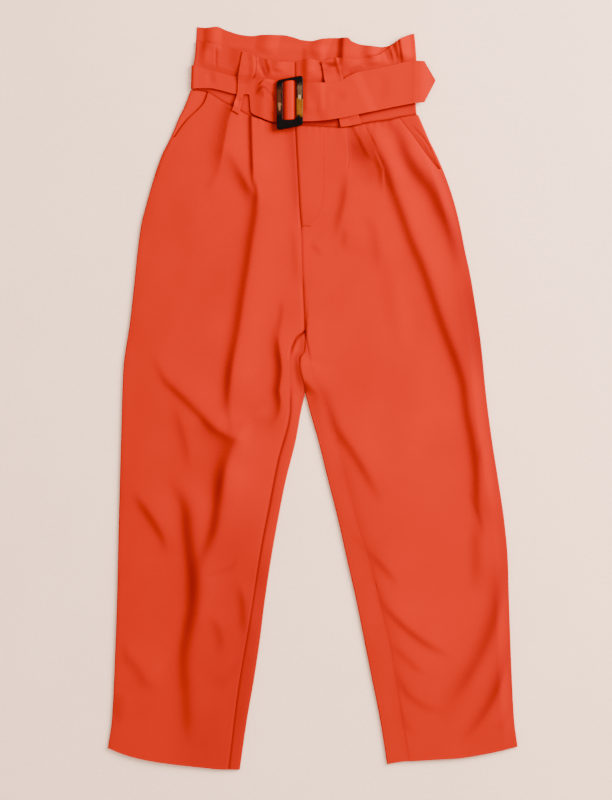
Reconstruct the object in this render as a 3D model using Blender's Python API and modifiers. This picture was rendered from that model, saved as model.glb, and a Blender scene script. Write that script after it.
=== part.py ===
"""Paperbag waist trousers with their own belt, laid flat on their back, waist towards +Y.

"Right" and "left" are the wearer's. The front faces up, so the right leg lies at -X.
The tables and functions work in millimetres, and a mesh is scaled to metres when it is made.
A sheet of cloth is a grid whose points lie on its outer face. Solidify gives it its wall, inwards.
"""

import math
from collections import namedtuple

import bmesh
import bpy
import numpy as np
from mathutils import Matrix

MM = 0.001
RIGHT = -1
LEFT = 1

# Cloth
WALL = 1.2
SEAM_GAP = 0.5
WAIST_SEAM_GAP = 0.6
OUTSEAM_GAP = 1.0
LAYER_GAP = 0.5
LAYER = WALL + LAYER_GAP
EDGE_RADIUS = 2.25
EDGE_HEIGHT = 2 * EDGE_RADIUS
FOLD_STEPS = 4
LAP_UNDER = 3.0
LOWEST_FRONT = 3.0
LOWEST_OVER_POCKET = 5.0
INNER_PIECE_TOP = WALL + LAYER_GAP + WALL

# How high the front stands over its own edge, and how soon it gets there
LOFT = 2.0
LOFT_OVER_HIDDEN_PIECE = 1.4
LOFT_REACH = 30.0
WAIST_LOFT = 0.12
WAIST_LOFT_REACH = 70.0
FOLDS_FROM_EDGE = 12.0

# Where the front lies over a hidden piece and so can't go lower: (starts, is level)
Span = namedtuple("Span", "start end")
POCKET_SIDE_FROM_Y = Span(290, 300)
POCKET_SIDE_FROM_EDGE = Span(75, 60)
FLY_SHIELD_FROM_Y = Span(222, 232)
FLY_SHIELD_FROM_MIDDLE = Span(34, 26)
FLY_SHIELD_MIDDLE_X = -8.0
HIDDEN_PIECE_REACH = 12.0
FLY_SHIELD_FROM_CENTRE = (-16.0, 22.0)
FLY_SHIELD_Y = (362.0, 238.0)

# The waistband and its frill: the loft of the frill, and where it starts over the belt and from the side
BAND_LEAST = WALL + LAYER + 0.2
BAND_EDGE_FALL = 8.0
FRILL_LOFT = 2.0
FRILL_LOWEST_DIP = -1.2
FRILL_FROM_BELT = Span(2, 22)
FRILL_FROM_SIDE = 14.0
BACK_FRILL_FROM_BELT = Span(20, 8)
BACK_FRILL_FROM_SIDE = Span(2, 14)

# The crotch: where the two inner legs part, and the seam between the two backs
CROTCH_Y = 6.0
CROTCH_POINT_Y = 90.0
CENTRE_BACK_X = -10.5
CENTRE_BACK_WAIST_X = 1.0

# Pocket mouths end at the side edge here, and the front comes round the edge just below
POCKET_END_Y = {RIGHT: 351.5, LEFT: 309.0}
POCKET_UNDERLAP = 20.0

# Buckle: a slider whose frame leans, its window less than its outside. Its lower end sits higher
Outline = namedtuple("Outline", "centre_x centre_y half_x half_y lean corner")
BUCKLE_OUTSIDE = Outline(-31.2, 398.4, 17.9, 32.9, math.radians(11), 5.0)
BUCKLE_WINDOW = Outline(-32.3, 401.9, 9.4, 26.4, math.radians(6), 2.5)
BUCKLE_Z = 12.6
BUCKLE_DEPTH = 4.4
BUCKLE_TILT = math.radians(1.6)
BUCKLE_EDGE_ROUND = 1.0
CENTRE_BAR_RADIUS = 1.2
CENTRE_BAR_X = -32.0
CENTRE_BAR_Z = 11.0
CENTRE_BAR_SIDES = 10
CENTRE_BAR_INTO_FRAME = 1.5
CURL_GAP = 0.3
CURL_ANGLES = (-90, -122, -154, -186)

# The belt's back stretch starts where the front stretch ends, under the right side
BELT_JOIN_X = -140.0
BELT_JOIN_GAP = 0.6
BELT_MIDDLE_Y = 430.0
LOOP_BACK_HALF_WIDTH = 5.0
LOOP_BACK_Y = (405.0, 468.0)
LOOP_REACH = 6.0
# How the cloth comes up to lie over a loop, and how soon beyond the buckle's window it takes its tilt
OVER_BACK_LOOP_BESIDE = Span(17, 8)
OVER_BACK_LOOP_BEFORE = Span(-26, -12)
OVER_BACK_LOOP_AFTER = 12.0
OVER_LEFT_LOOP = Span(30, 12)
OVER_LEFT_LOOP_EXTRA = 0.2
TILT_FROM_BAR = Span(16, 6)

# ---------------------------------------------------------------- outlines: (y, x) or (x, y)
SIDE_EDGE = {
    RIGHT: (
        (416, -165), (396, -172.5), (376, -182), (362, -187.7), (346, -195), (330, -203.2), (314, -209.2),
        (298, -214.5), (265, -224), (233, -232), (200, -236.5), (152, -241.5), (103, -247),
        (38, -256), (-56, -259), (-164, -262), (-272, -264.5), (-380, -268.5), (-434, -271.5),
        (-471, -276.8),
    ),
    LEFT: (
        (383, 142), (362, 151), (346, 158), (330, 166), (298, 179.5), (265, 190.5), (233, 198.5),
        (200, 205), (168, 212), (136, 217.5), (71, 227), (6, 233.5), (-56, 241.5), (-110, 250),
        (-164, 258), (-218, 263), (-272, 264.5), (-380, 268.5), (-434, 271.5), (-469, 276),
    ),
}
INNER_EDGE = {
    RIGHT: (
        (6, -10.9), (-18, -16.2), (-56, -23), (-110, -36.5), (-164, -47.2), (-218, -56.7),
        (-272, -64.8), (-326, -71.6), (-380, -79.7), (-434, -89.1), (-500, -98.6),
    ),
    LEFT: (
        (6, -10.1), (-18, -4.1), (-56, 6.8), (-110, 20.2), (-164, 33.8), (-218, 45.9),
        (-272, 58.1), (-326, 68.9), (-380, 79.7), (-434, 90.5), (-494, 99.9),
    ),
}
# Where the two backs meet on top, between the front crotch point and the parting of the legs
FORK_EDGE = ((90, -10.8), (63, -12.2), (55, -18.6), (44, -18.6), (30, -16), (14, -11.4), (6, -10.5))
# The front's inner boundary: centre front seam, then the inseam that lies on top of the leg
CENTRE_FRONT = ((460, -23.9), (366, -22.3), (354, -20.7), (236, -14.9), (120, -12.2), (90, -10.8))
INSEAM = {
    RIGHT: (
        (90, -10.8), (82, -23), (66, -28.4), (54, -31), (25, -30.4), (-13, -30.8), (-87, -48.6),
        (-198, -71.6), (-296, -85.1), (-395, -101), (-500, -113),
    ),
    LEFT: (
        (90, -10.8), (59, -4.7), (25, 2.3), (5, 14.2), (-34, 27.9), (-72, 35.9), (-129, 50),
        (-174, 61.7), (-230, 79.7), (-272, 89.1), (-333, 104), (-388, 113.4), (-490, 129.6),
    ),
}
CENTRE_BACK = ((400, CENTRE_BACK_WAIST_X), (240, -3), (90, CENTRE_BACK_X), (2, CENTRE_BACK_X))
POCKET_MOUTH = {
    RIGHT: ((414, -141), (400, -146), (389, -155), (379, -166), (368, -175.5), (352, -186.5)),
    LEFT: ((379, 116), (368, 125.6), (359, 133.4), (346, 143.6), (334, 152.3), (322, 160), (309, 169)),
}
WAIST_SEAM = (
    (-166, 416), (-146, 414.5), (-123, 401.6), (-107, 392.6), (-84, 381.4), (-72, 378), (-52, 371.5),
    (-11, 368), (14, 366.8), (36, 365.7), (64, 369.9), (82, 373), (101, 375.4), (117, 379.2), (142, 383),
)
BACK_WAIST_SEAM = ((-166, 416.2), (-146, 415.2), (-120, 410), (-90, 407), (0, 400), (70, 393), (142, 384.5))
HEM = {
    RIGHT: (
        (-277, -471), (-263, -477), (-247, -482.5), (-223, -488), (-198, -492), (-174, -495),
        (-150, -497.5), (-125, -500), (-98, -500.5),
    ),
    LEFT: (
        (99, -493.5), (123, -489.5), (147, -488), (171, -486.5), (196, -485), (228, -480), (261, -473),
        (276, -469),
    ),
}
BAND_EDGE = {
    RIGHT: ((416, -162.6), (448, -161.5), (461, -159.3), (481, -158), (501, -156.6)),
    LEFT: ((383, 140), (398, 138.5), (450, 139), (461, 139), (480, 138), (492, 136.8)),
}
FRONT_FRILL_TOP = (
    (-157, 482), (-123, 475), (-96, 468), (-75, 460), (-53, 455), (-43, 453.5), (-24, 454), (-3, 457),
    (10, 454), (32, 459), (53, 457), (84, 461), (99, 470), (112, 481.3), (124, 488), (135, 492), (139, 492.7),
)
BACK_FRILL_TOP = (
    (-157, 501.5), (-143, 500.2), (-130, 501.5), (-116, 496.5), (-96, 490.7), (-82, 489.4),
    (-69, 490.7), (-42, 490.7), (-28, 488), (-15, 484), (-1, 482.6), (12, 485.3), (26, 486.7),
    (46, 486.7), (53, 481.3), (66, 477.2), (93, 474.5), (100, 475.5), (115, 482), (139, 488),
)
# The belt's lower and upper edge. Front: the stretch on top. Back: the stretch underneath
BELT_LOW = (
    (-165, 415.8), (-155, 418), (-139, 418), (-125, 415.3), (-103, 410), (-94, 410), (-87, 408),
    (-81, 386), (-72, 380.5), (-52, 374), (-46, 375), (-40, 377), (-24, 378), (-18, 376), (-12, 374),
    (13, 375), (36, 378), (51, 381), (84, 388), (119, 395), (139, 398), (150, 398.5),
)
BELT_HIGH = (
    (-165, 450.5), (-140, 443.5), (-103, 434), (-77, 431), (-60, 430), (-52, 428.5), (-46, 427),
    (-40, 424.8), (-23, 426), (-12, 425.5), (13, 425), (37, 427), (46, 433), (63, 439.8), (82, 443.5),
    (107, 449), (121, 452.3), (139, 454.8), (150, 454.3),
)
BELT_BACK_LOW = (
    (-165, 417.5), (-154, 418), (-140, 417.5), (-120, 414), (-90, 410.5), (-60, 408), (0, 403), (60, 399.5),
    (142, 399),
)
BELT_BACK_HIGH = ((-165, 450.5), (-120, 462), (-60, 463), (0, 459), (60, 456), (142, 453))
BELT_TIP_X = 150.0
BELT_TIP_LENGTH = 15.5
TIP_SHOULDER_X = 146.0
TIP_HEIGHT_AHEAD = 6.0
TIP_DROOP = 4.6
TIP_DROOP_FROM = Span(143, 168)
# The band ends here under the belt, which goes on; the belt's own side edges, by y
BAND_UNDER_BELT_TO_X = 137.0
BELT_EDGE = {RIGHT: ((413, -165), (453, -163.8)), LEFT: ((399, 140.6), (453, 140.6))}
BELT_EDGE_INSET = 4.2
# Where the columns of the belt's two stretches stand
BELT_FRONT_COLUMNS = (
    150, 140, 128, 114, 100, 86, 74, 62, 50, 38, 26, 14, 4, -4, -12, -18, -21.5, -24.5, -27, -30.5,
    -33.5, -36, -39, -42, -46, -50, -56, -62, -70, -78, -83, -88, -96, -106, -118, -132, -146,
)
BELT_FRONT_UNDER_X = -154.0
BELT_FRONT_ROWS = 5
BELT_BACK_COLUMNS = (-112, -84, -58, -34, -17, -7, 1, 9, 19, 34, 62, 90, 114, 130)
BELT_BACK_ROWS = 4
FIXED_END_COLUMNS = (128, 112, 96, 80, 66, 52, 38, 24, 10, -2, -10, -17, -23, -28)
# The fixed end is narrower than the free end over it, more so at the centre bar
FIXED_INSET_LOW = 2.0
FIXED_INSET_AT_BAR = 2.0
FIXED_AT_BAR = Span(-10, -24)
FIXED_INSET_HIGH = 2.5
# How far the belt's front stretch lies over the waistband, by x: up over the centre bar, and down
BELT_RISE = (
    (-165, 1.7), (-92, 1.7), (-80, 2.4), (-66, 4.6), (-56, 4.6), (-50, 3.8), (-41.5, 3.9), (-39, 4.9),
    (-36, 8.0), (-33.5, 9.1), (-30.5, 9.1), (-27, 7.2), (-24, 4.9), (-20, 3.9), (-12, 3.8), (8, 3.8),
    (150, 3.8),
)
FIXED_RISE = ((-28, 3.9), (-25, 2.9), (-22, 2.2), (-17, 1.9), (140, 1.9))

# ---------------------------------------------------------------- loops: rows of (y, x_low, x_high)
LoopRow = namedtuple("LoopRow", "y x_from x_to on_belt")
LOOP_ROWS = {
    RIGHT: (
        LoopRow(463, -95, -79, 0), LoopRow(450, -98, -77, 0), LoopRow(440, -100, -77, 0),
        LoopRow(435, -101, -77, 1), LoopRow(424, -101.5, -79.5, 1), LoopRow(414, -102, -88, 1),
        LoopRow(405, -103, -95, 1), LoopRow(400, -104.5, -96, 0), LoopRow(394, -106, -97, 0),
        LoopRow(386, -108.5, -99, 0),
    ),
    LEFT: (
        LoopRow(458, 11, 33, 0), LoopRow(444, 13, 36, 0), LoopRow(436, 14, 39, 0),
        LoopRow(430, 15, 41, 1), LoopRow(414, 20, 48, 1), LoopRow(396, 28, 56, 1),
        LoopRow(380, 34, 62, 1), LoopRow(375.5, 35, 63, 0), LoopRow(371, 36, 64, 0),
        LoopRow(366, 37, 64.5, 0),
    ),
}

# ---------------------------------------------------------------- rows of the panels
PanelRow = namedtuple("PanelRow", "inner outer waist hem")
FRONT_TOP_ROWS = {
    RIGHT: (
        PanelRow(368, 413, 1, 0), PanelRow(352, 382, 0.6, 0), PanelRow(337, 352, 0.3, 0),
        PanelRow(331, 344, 0.2, 0), PanelRow(312, 320, 0.1, 0), PanelRow(290, 295, 0, 0),
    ),
    LEFT: (
        PanelRow(368, 379, 1, 0), PanelRow(352, 357, 0.6, 0), PanelRow(334, 332, 0.3, 0),
        PanelRow(314, 309, 0.1, 0), PanelRow(306, 300, 0, 0), PanelRow(288, 284, 0, 0),
    ),
}
BACK_TOP_ROWS = {
    RIGHT: (
        PanelRow(400, 416, 1, 0), PanelRow(385, 399, 0.7, 0), PanelRow(370, 382, 0.4, 0),
        PanelRow(352, 363, 0.1, 0), PanelRow(337, 344, 0, 0), PanelRow(316, 320, 0, 0),
        PanelRow(293, 295, 0, 0),
    ),
    LEFT: (
        PanelRow(400, 384, 1, 0), PanelRow(385, 372, 0.7, 0), PanelRow(370, 357, 0.4, 0),
        PanelRow(338, 332, 0.1, 0), PanelRow(311, 309, 0, 0), PanelRow(286, 284, 0, 0),
    ),
}
HIP_ROWS = (264, 240, 216, 192, 168, 144, 122, 104)
BACK_HIP_ROWS = (264, 240, 200, 160, 120)
CROTCH_ROWS = (90, 82, 66, 54, 38, 22, 6)
BACK_CROTCH_ROWS = {RIGHT: (88, 82, 66, 54, 38, 22, 6), LEFT: (82, 66, 54, 38, 22, 6)}
LEG_ROW_STEP = 26.0
LEG_ROWS_END = -420.0
HEM_ROWS = {
    RIGHT: (PanelRow(-446, -430, 0, 0.2), PanelRow(-474, -452, 0, 0.5), PanelRow(-500, -471, 0, 1)),
    LEFT: (PanelRow(-443, -430, 0, 0.2), PanelRow(-468, -450, 0, 0.5), PanelRow(-493, -469, 0, 1)),
}
FRONT_COLUMNS = 19
BACK_COLUMNS = 3
FORK_COLUMNS = 3
BAND_ROWS = (0.0, 0.12, 0.24, 0.42, 0.6, 0.7, 0.8, 0.9, 1.0)
BACK_BAND_COLUMNS = (
    -150, -143, -136, -129, -122, -110, -95, -80, -66, -52, -36, -24, -16, -7, 1, 9, 18, 27, 36, 44, 52, 62,
    76, 90, 102, 114, 124, 133,
)
FRONT_BAND_COLUMNS = 15
FIRST_BAND_Y = Span(400, 460)
POCKET_SIDE_COLUMNS = 5
POCKET_SIDE_ROWS = 6
POCKET_SIDE_ABOVE_END = 0.4
FRONT_BELOW_POCKET_END = 4.0
# Rows bent to a seam are found again this many times, each time nearer
SEAM_PASSES = 4

# ---------------------------------------------------------------- folds
# height: how deep a trough is or how high a ridge or a tuck's upper side is; width: half of it
# start, end: 1 where the fold runs into a seam at its full height, 0 where it dies away
# A tuck is a step in the cloth, raised on the left-hand side of its route
FOLD_ENDS_SHARE = 0.3
TUCK_FALL = 7.0
TUCK_REACH = 9.0
TROUGH_SPREAD = 1.4
Fold = namedtuple("Fold", "name shape height width start end route")
FOLDS = (
    # wearer's right front
    Fold("outer pleat", "tuck", 3.0, 3.0, 1, 0, (
        (-110, 390), (-116, 375), (-122, 340), (-131, 302), (-142, 286))),
    Fold("outer pleat hollow", "trough", 3.2, 13, 0, 0, (
        (-116, 376), (-128, 345), (-140, 318), (-146, 296))),
    Fold("inner pleat", "tuck", 2.2, 3.0, 1, 0, ((-84, 381), (-83, 349), (-81, 302))),
    Fold("between the pleats", "trough", 2.2, 10, 0, 0, ((-107, 325), (-93, 291), (-80, 272))),
    Fold("long thigh fold", "trough", 3.4, 13, 0, 0, (
        (-76, 268), (-80, 249), (-86, 215), (-89, 179), (-96, 137), (-102, 95), (-111, 40), (-114, 0),
        (-109, -38))),
    Fold("knee diagonal", "trough", 4.0, 10, 0, 0.6, (
        (-207, 32), (-189, 13), (-170, -2), (-154, -20), (-138, -38), (-122, -48), (-104, -56))),
    Fold("knee nose", "trough", 4.4, 11, 0.3, 0, (
        (-125, -58), (-127, -90), (-130, -134), (-137, -173), (-147, -205), (-154, -226))),
    Fold("knee ridge", "ridge", 2.6, 9, 0, 0, ((-108, -44), (-89, -34), (-58, -18))),
    Fold("crotch drag", "trough", 3.6, 8, 0, 0, ((-46, 78), (-45, 30), (-46, 2), (-50, -20), (-64, -38))),
    Fold("long shin fold", "trough", 4.8, 12, 0, 0, (
        (-198, -104), (-181, -126), (-171, -148), (-168, -178), (-165, -206), (-161, -240), (-162, -280),
        (-166, -310), (-173, -346), (-170, -390), (-169, -430), (-168, -464))),
    Fold("outer shin fold", "trough", 2.6, 9, 0, 0, (
        (-246, -118), (-232, -140), (-214, -166), (-202, -190), (-198, -214))),
    Fold("ankle sweep", "trough", 2.4, 12, 0, 0, (
        (-259, -322), (-250, -346), (-236, -364), (-222, -384), (-198, -394))),
    Fold("inner shin fold", "trough", 2.6, 8, 0, 0, ((-101, -245), (-94, -270), (-93, -296), (-95, -322))),
    Fold("inner ankle sweep", "trough", 2.6, 11, 0, 0, (
        (-95, -334), (-104, -356), (-118, -380), (-134, -396))),
    Fold("thigh dip", "trough", 1.8, 8, 0, 0, ((-185, -20), (-173, -54), (-168, -84))),
    # wearer's left front
    Fold("left inner pleat", "tuck", 2.4, 3.0, 0, 1, ((40, 262), (45, 300), (47, 335), (46, 368))),
    Fold("left inner pleat hollow", "trough", 2.6, 8, 0, 0, ((40, 330), (42, 296), (38, 262), (28, 218))),
    Fold("left outer pleat", "tuck", 2.4, 3.0, 0, 1, ((72, 322), (65, 344), (58, 368))),
    Fold("left long thigh fold", "trough", 4.8, 13, 0, 0, (
        (94, 318), (100, 298), (108, 277), (123, 238), (144, 196), (159, 144), (177, 95), (194, 51), (204, 20),
        (208, -16), (215, -56), (219, -96), (219, -134), (224, -162), (229, -188))),
    Fold("left hip fold", "trough", 4.2, 12, 0, 0, (
        (104, 362), (123, 327), (147, 292), (171, 250), (194, 203), (208, 152))),
    Fold("left thigh dip", "trough", 2.2, 11, 0, 0, ((58, 246), (80, 234), (85, 209), (89, 161))),
    Fold("left shin fold", "trough", 4.0, 12, 0, 0, (
        (256, -232), (254, -256), (250, -280), (237, -314), (227, -341), (212, -365), (191, -388), (174, -402))),
    Fold("left ankle sweep", "trough", 3.6, 11, 0, 0, (
        (262, -340), (255, -368), (244, -398), (232, -420), (210, -448))),
    Fold("left knee crease", "trough", 2.6, 8, 0.4, 0, (
        (31, -44), (34, -58), (50, -68), (66, -92), (82, -124), (96, -146))),
    Fold("left shin crease", "trough", 3.2, 8, 0.4, 0, (
        (78, -238), (86, -268), (103, -286), (127, -310), (146, -330), (180, -346))),
    Fold("left low crease", "trough", 2.8, 8, 0.4, 0, (
        (108, -362), (114, -388), (131, -400), (150, -416), (180, -421))),
    Fold("left shin ridge", "ridge", 2.0, 10, 0, 0, ((52, -40), (72, -84), (90, -134))),
)
BAND_FOLDS = (
    Fold("right frill tuck", "trough", 3.0, 6, 0, 1, ((-71, 436), (-72, 448), (-70, 462))),
    Fold("right frill ridge", "ridge", 4.0, 10, 0, 1, ((-98, 440), (-96, 456), (-94, 475))),
    Fold("right frill dip", "trough", 2.0, 8, 0, 1, ((-130, 448), (-131, 462), (-128, 480))),
    Fold("corner ridge", "ridge", 2.6, 9, 0, 1, ((-147, 452), (-148, 470), (-146, 484))),
    Fold("middle ridge", "ridge", 2.6, 11, 0, 1, ((-48, 438), (-46, 448), (-44, 458))),
    Fold("centre ridge", "ridge", 2.4, 10, 0, 1, ((-6, 432), (-6, 446), (-5, 460))),
    Fold("left frill tuck", "trough", 2.6, 6, 0, 1, ((16, 434), (16, 446), (14, 460))),
    Fold("left frill ridge", "ridge", 4.6, 9, 0, 1, ((44, 440), (43, 450), (42, 464))),
    Fold("left frill dip", "trough", 2.4, 8, 0, 1, ((60, 444), (58, 452), (56, 464))),
    Fold("side ridge", "ridge", 3.6, 12, 0, 1, ((82, 446), (80, 456), (78, 468))),
    Fold("flap hollow", "trough", 3.4, 6, 0, 1, ((108, 452), (106, 466), (104, 482))),
    Fold("flap", "ridge", 4.6, 9, 0, 1, ((128, 454), (128, 474), (127, 496))),
)
BACK_FRILL_FOLDS = (
    Fold("back ridge 1", "ridge", 3.4, 12, 0, 1, ((-136, 462), (-136, 484), (-136, 506))),
    Fold("back ridge 2", "ridge", 2.6, 14, 0, 1, ((-66, 462), (-62, 478), (-58, 496))),
    Fold("back ridge 3", "ridge", 3.0, 12, 0, 1, ((0, 458), (8, 474), (14, 490))),
    Fold("back tuck", "ridge", 4.6, 7, 0, 1, ((44, 456), (43, 472), (42, 490))),
    Fold("back ridge 4", "ridge", 3.2, 10, 0, 1, ((76, 456), (78, 468), (80, 480))),
    Fold("back ridge 5", "ridge", 3.0, 9, 0, 1, ((114, 458), (114, 474), (114, 492))),
)

# ---------------------------------------------------------------- colours and finish
CLOTH = {"colour": (0.89, 0.10, 0.035), "roughness": 0.8, "metallic": 0.0}
TORTOISESHELL = {"colour": (0.06, 0.018, 0.008), "roughness": 0.2, "metallic": 0.0}


# ================================================================ curves
def smooth_value(table, at):
    """Value at a position of a table of (position, value) pairs, on a curve that doesn't overshoot."""
    rows = sorted(table)
    position = np.array([row[0] for row in rows], float)
    value = np.array([row[1] for row in rows], float)
    step = np.diff(position)
    slope = np.diff(value) / step
    tangent = np.zeros(len(rows))
    tangent[0] = slope[0]
    tangent[-1] = slope[-1]
    for k in range(1, len(rows) - 1):
        if slope[k - 1] * slope[k] > 0:
            tangent[k] = 2 * slope[k - 1] * slope[k] / (slope[k - 1] + slope[k])
    inside = np.clip(at, position[0], position[-1])
    k = np.clip(np.searchsorted(position, inside) - 1, 0, len(rows) - 2)
    t = (inside - position[k]) / step[k]
    from_ends = value[k] * (1 + 2 * t) * (1 - t) ** 2 + value[k + 1] * t * t * (3 - 2 * t)
    from_slopes = step[k] * (tangent[k] * t * (1 - t) ** 2 - tangent[k + 1] * t * t * (1 - t))
    return from_ends + from_slopes


def fade(value, start, end):
    """0 at start, 1 at end, level at both."""
    t = np.clip((np.asarray(value, float) - start) / (end - start), 0, 1)
    return t * t * (3 - 2 * t)


def curve_through(points, per_span=5):
    """Points on a smooth curve through a fold's route."""
    route = [np.array(point, float) for point in points]
    route = [2 * route[0] - route[1]] + route + [2 * route[-1] - route[-2]]
    found = []
    for k in range(1, len(route) - 2):
        before, start, end, after = route[k - 1 : k + 3]
        for step in range(per_span):
            t = step / per_span
            found.append(
                0.5 * (2 * start + (end - before) * t
                       + (2 * before - 5 * start + 4 * end - after) * t * t
                       + (3 * start - before - 3 * end + after) * t ** 3)
            )
    found.append(route[-2])
    return np.array(found)


def along_route(points, x, y):
    """Distance of each (x, y) from a route, its side (+1 on the left hand) and how far along it lies."""
    route = curve_through(points)
    start = route[:-1]
    span = np.diff(route, axis=0)
    length = np.hypot(span[:, 0], span[:, 1])
    before = np.concatenate([[0], np.cumsum(length)[:-1]])
    dx = x[..., None] - start[:, 0]
    dy = y[..., None] - start[:, 1]
    t = np.clip((dx * span[:, 0] + dy * span[:, 1]) / length ** 2, 0, 1)
    away = np.hypot(dx - t * span[:, 0], dy - t * span[:, 1])
    nearest = np.argmin(away, axis=-1)[..., None]
    side = np.sign(span[:, 0] * dy - span[:, 1] * dx)
    progress = (before + t * length) / length.sum()
    pick = [np.take_along_axis(values, nearest, -1)[..., 0] for values in (away, side, progress)]
    return pick


def fold_relief(fold, x, y):
    """How much one fold raises or lowers the cloth."""
    away, side, progress = along_route(fold.route, x, y)
    across = away / fold.width
    at_start = fold.start + (1 - fold.start) * fade(progress, 0, FOLD_ENDS_SHARE)
    at_end = fold.end + (1 - fold.end) * fade(progress, 1, 1 - FOLD_ENDS_SHARE)
    strength = at_start * at_end
    if fold.shape == "tuck":
        over = away * side
        fall = np.exp(-np.maximum(over, 0) / (TUCK_FALL * fold.width))
        profile = (0.5 + 0.5 * np.tanh(over / fold.width)) * fall
        ends = np.exp(-np.maximum(across - TUCK_REACH, 0))
        return fold.height * strength * profile * ends
    profile = (1 - across ** 2) * np.exp(-across ** 2 / TROUGH_SPREAD)
    sign = -1 if fold.shape == "trough" else 1
    return sign * fold.height * strength * profile


def all_relief(folds, x, y):
    return sum(fold_relief(fold, x, y) for fold in folds)


# ================================================================ heights of the layers
def cloth_height(x, y):
    """Height of the outer face of all that faces up, from the waist seam down to the hems."""
    x, y = np.broadcast_arrays(np.asarray(x, float), np.asarray(y, float))
    from_side = np.minimum(x - smooth_value(SIDE_EDGE[RIGHT], y), smooth_value(SIDE_EDGE[LEFT], y) - x)
    right_inner = smooth_value(INNER_EDGE[RIGHT], y)
    left_inner = smooth_value(INNER_EDGE[LEFT], y)
    on_right_leg = x < (right_inner + left_inner) / 2
    from_inner = np.where(on_right_leg, right_inner - x, x - left_inner) + np.maximum(0, y - CROTCH_Y)
    inset = np.maximum(np.minimum(from_side, from_inner) - EDGE_RADIUS, 0)
    near_waist = fade(smooth_value(WAIST_SEAM, x) - y, 0, WAIST_LOFT_REACH)
    loft = LOFT * (WAIST_LOFT + (1 - WAIST_LOFT) * near_waist) * (1 - np.exp(-inset / LOFT_REACH))
    relief = all_relief(FOLDS, x, y) * fade(inset, 0, FOLDS_FROM_EDGE)
    over_pocket = fade(y, *POCKET_SIDE_FROM_Y) * fade(from_side, *POCKET_SIDE_FROM_EDGE)
    from_fly = np.abs(x - FLY_SHIELD_MIDDLE_X)
    over_fly = fade(y, *FLY_SHIELD_FROM_Y) * fade(from_fly, *FLY_SHIELD_FROM_MIDDLE)
    over_piece = np.maximum(over_pocket, over_fly)
    lowest = LOWEST_FRONT + (LOWEST_OVER_POCKET - LOWEST_FRONT) * over_piece
    loft = loft + LOFT_OVER_HIDDEN_PIECE * over_piece * near_waist * (1 - np.exp(-inset / HIDDEN_PIECE_REACH))
    lowest = np.minimum(lowest, EDGE_HEIGHT + inset)
    above = EDGE_HEIGHT + loft + relief - lowest
    return lowest + 0.5 * (above + np.sqrt(above ** 2 + 0.25)) - 0.25 * np.exp(-inset)


def loop_back_lift(x, y):
    """The belt and the waistband lie over the back belt loop."""
    beside = fade(np.abs(x - CENTRE_BACK_WAIST_X), *OVER_BACK_LOOP_BESIDE)
    before = fade(y - LOOP_BACK_Y[0], *OVER_BACK_LOOP_BEFORE)
    after = fade(y - LOOP_BACK_Y[1], OVER_BACK_LOOP_AFTER, 0)
    return LAYER * beside * before * after


def band_bottom(x, y):
    """Height of the back waistband's outer face, which faces down on to the belt."""
    x, y = np.broadcast_arrays(np.asarray(x, float), np.asarray(y, float))
    belt_top = smooth_value(BELT_BACK_HIGH, x)
    over_belt = LAYER * fade(y - belt_top, *BACK_FRILL_FROM_BELT)
    frill = np.maximum(all_relief(BACK_FRILL_FOLDS, x, y), 0)
    side = np.minimum(x - smooth_value(BAND_EDGE[RIGHT], y), smooth_value(BAND_EDGE[LEFT], y) - x)
    return over_belt + loop_back_lift(x, y) + frill * fade(side, *BACK_FRILL_FROM_SIDE)


def band_height(x, y):
    """Height of the front waistband's outer face: flat under the belt, full of folds in the frill."""
    x, y = np.broadcast_arrays(np.asarray(x, float), np.asarray(y, float))
    side = np.minimum(x - smooth_value(BAND_EDGE[RIGHT], y), smooth_value(BAND_EDGE[LEFT], y) - x)
    inset = np.maximum(side - EDGE_RADIUS, 0)
    above_belt = fade(y - smooth_value(BELT_HIGH, x), *FRILL_FROM_BELT)
    edge = (EDGE_HEIGHT - BAND_LEAST) * np.exp(-inset / BAND_EDGE_FALL)
    folds = all_relief(BAND_FOLDS, x, y)
    frill = (FRILL_LOFT + np.maximum(folds, FRILL_LOWEST_DIP)) * fade(inset, 0, FRILL_FROM_SIDE)
    return band_bottom(x, y) + BAND_LEAST + edge + above_belt * frill


def layer_below_loop(x, y):
    on_band = y > smooth_value(WAIST_SEAM, x)
    return np.where(on_band, band_height(x, y), cloth_height(x, y))


def highest_near(height, x, y, reach):
    """The highest a layer gets near a point, for a loop to lie on."""
    found = [
        height(x + step_x, y + step_y) for step_x in (-reach, 0, reach) for step_y in (-reach, 0, reach)
    ]
    return np.max(found, axis=0)


def tail_over_loop(x, y):
    """The free belt end lies over the left belt loop."""
    rows = LOOP_ROWS[LEFT]
    x_from = smooth_value([(row.y, row.x_from) for row in rows], y)
    x_to = smooth_value([(row.y, row.x_to) for row in rows], y)
    beside = fade(x_from - x, *OVER_LEFT_LOOP) * fade(x - x_to, *OVER_LEFT_LOOP)
    return (LAYER + OVER_LEFT_LOOP_EXTRA) * beside


def belt_front_height(x, y):
    """Outer face of the stretch of belt that shows; past the waist's side its pointed end droops."""
    rise = smooth_value(BELT_RISE, x)
    droop = TIP_DROOP * fade(x, *TIP_DROOP_FROM)
    at_buckle = buckle_drop(y) * fade(np.abs(x - CENTRE_BAR_X), *TILT_FROM_BAR)
    on_band = band_height(np.minimum(x, BAND_UNDER_BELT_TO_X), y)
    return on_band + rise + tail_over_loop(x, y) - droop - at_buckle


def fixed_belt_height(x, y):
    """Outer face of the belt's end that is sewn to the buckle, under the free end."""
    return band_height(x, y) + smooth_value(FIXED_RISE, x)


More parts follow.
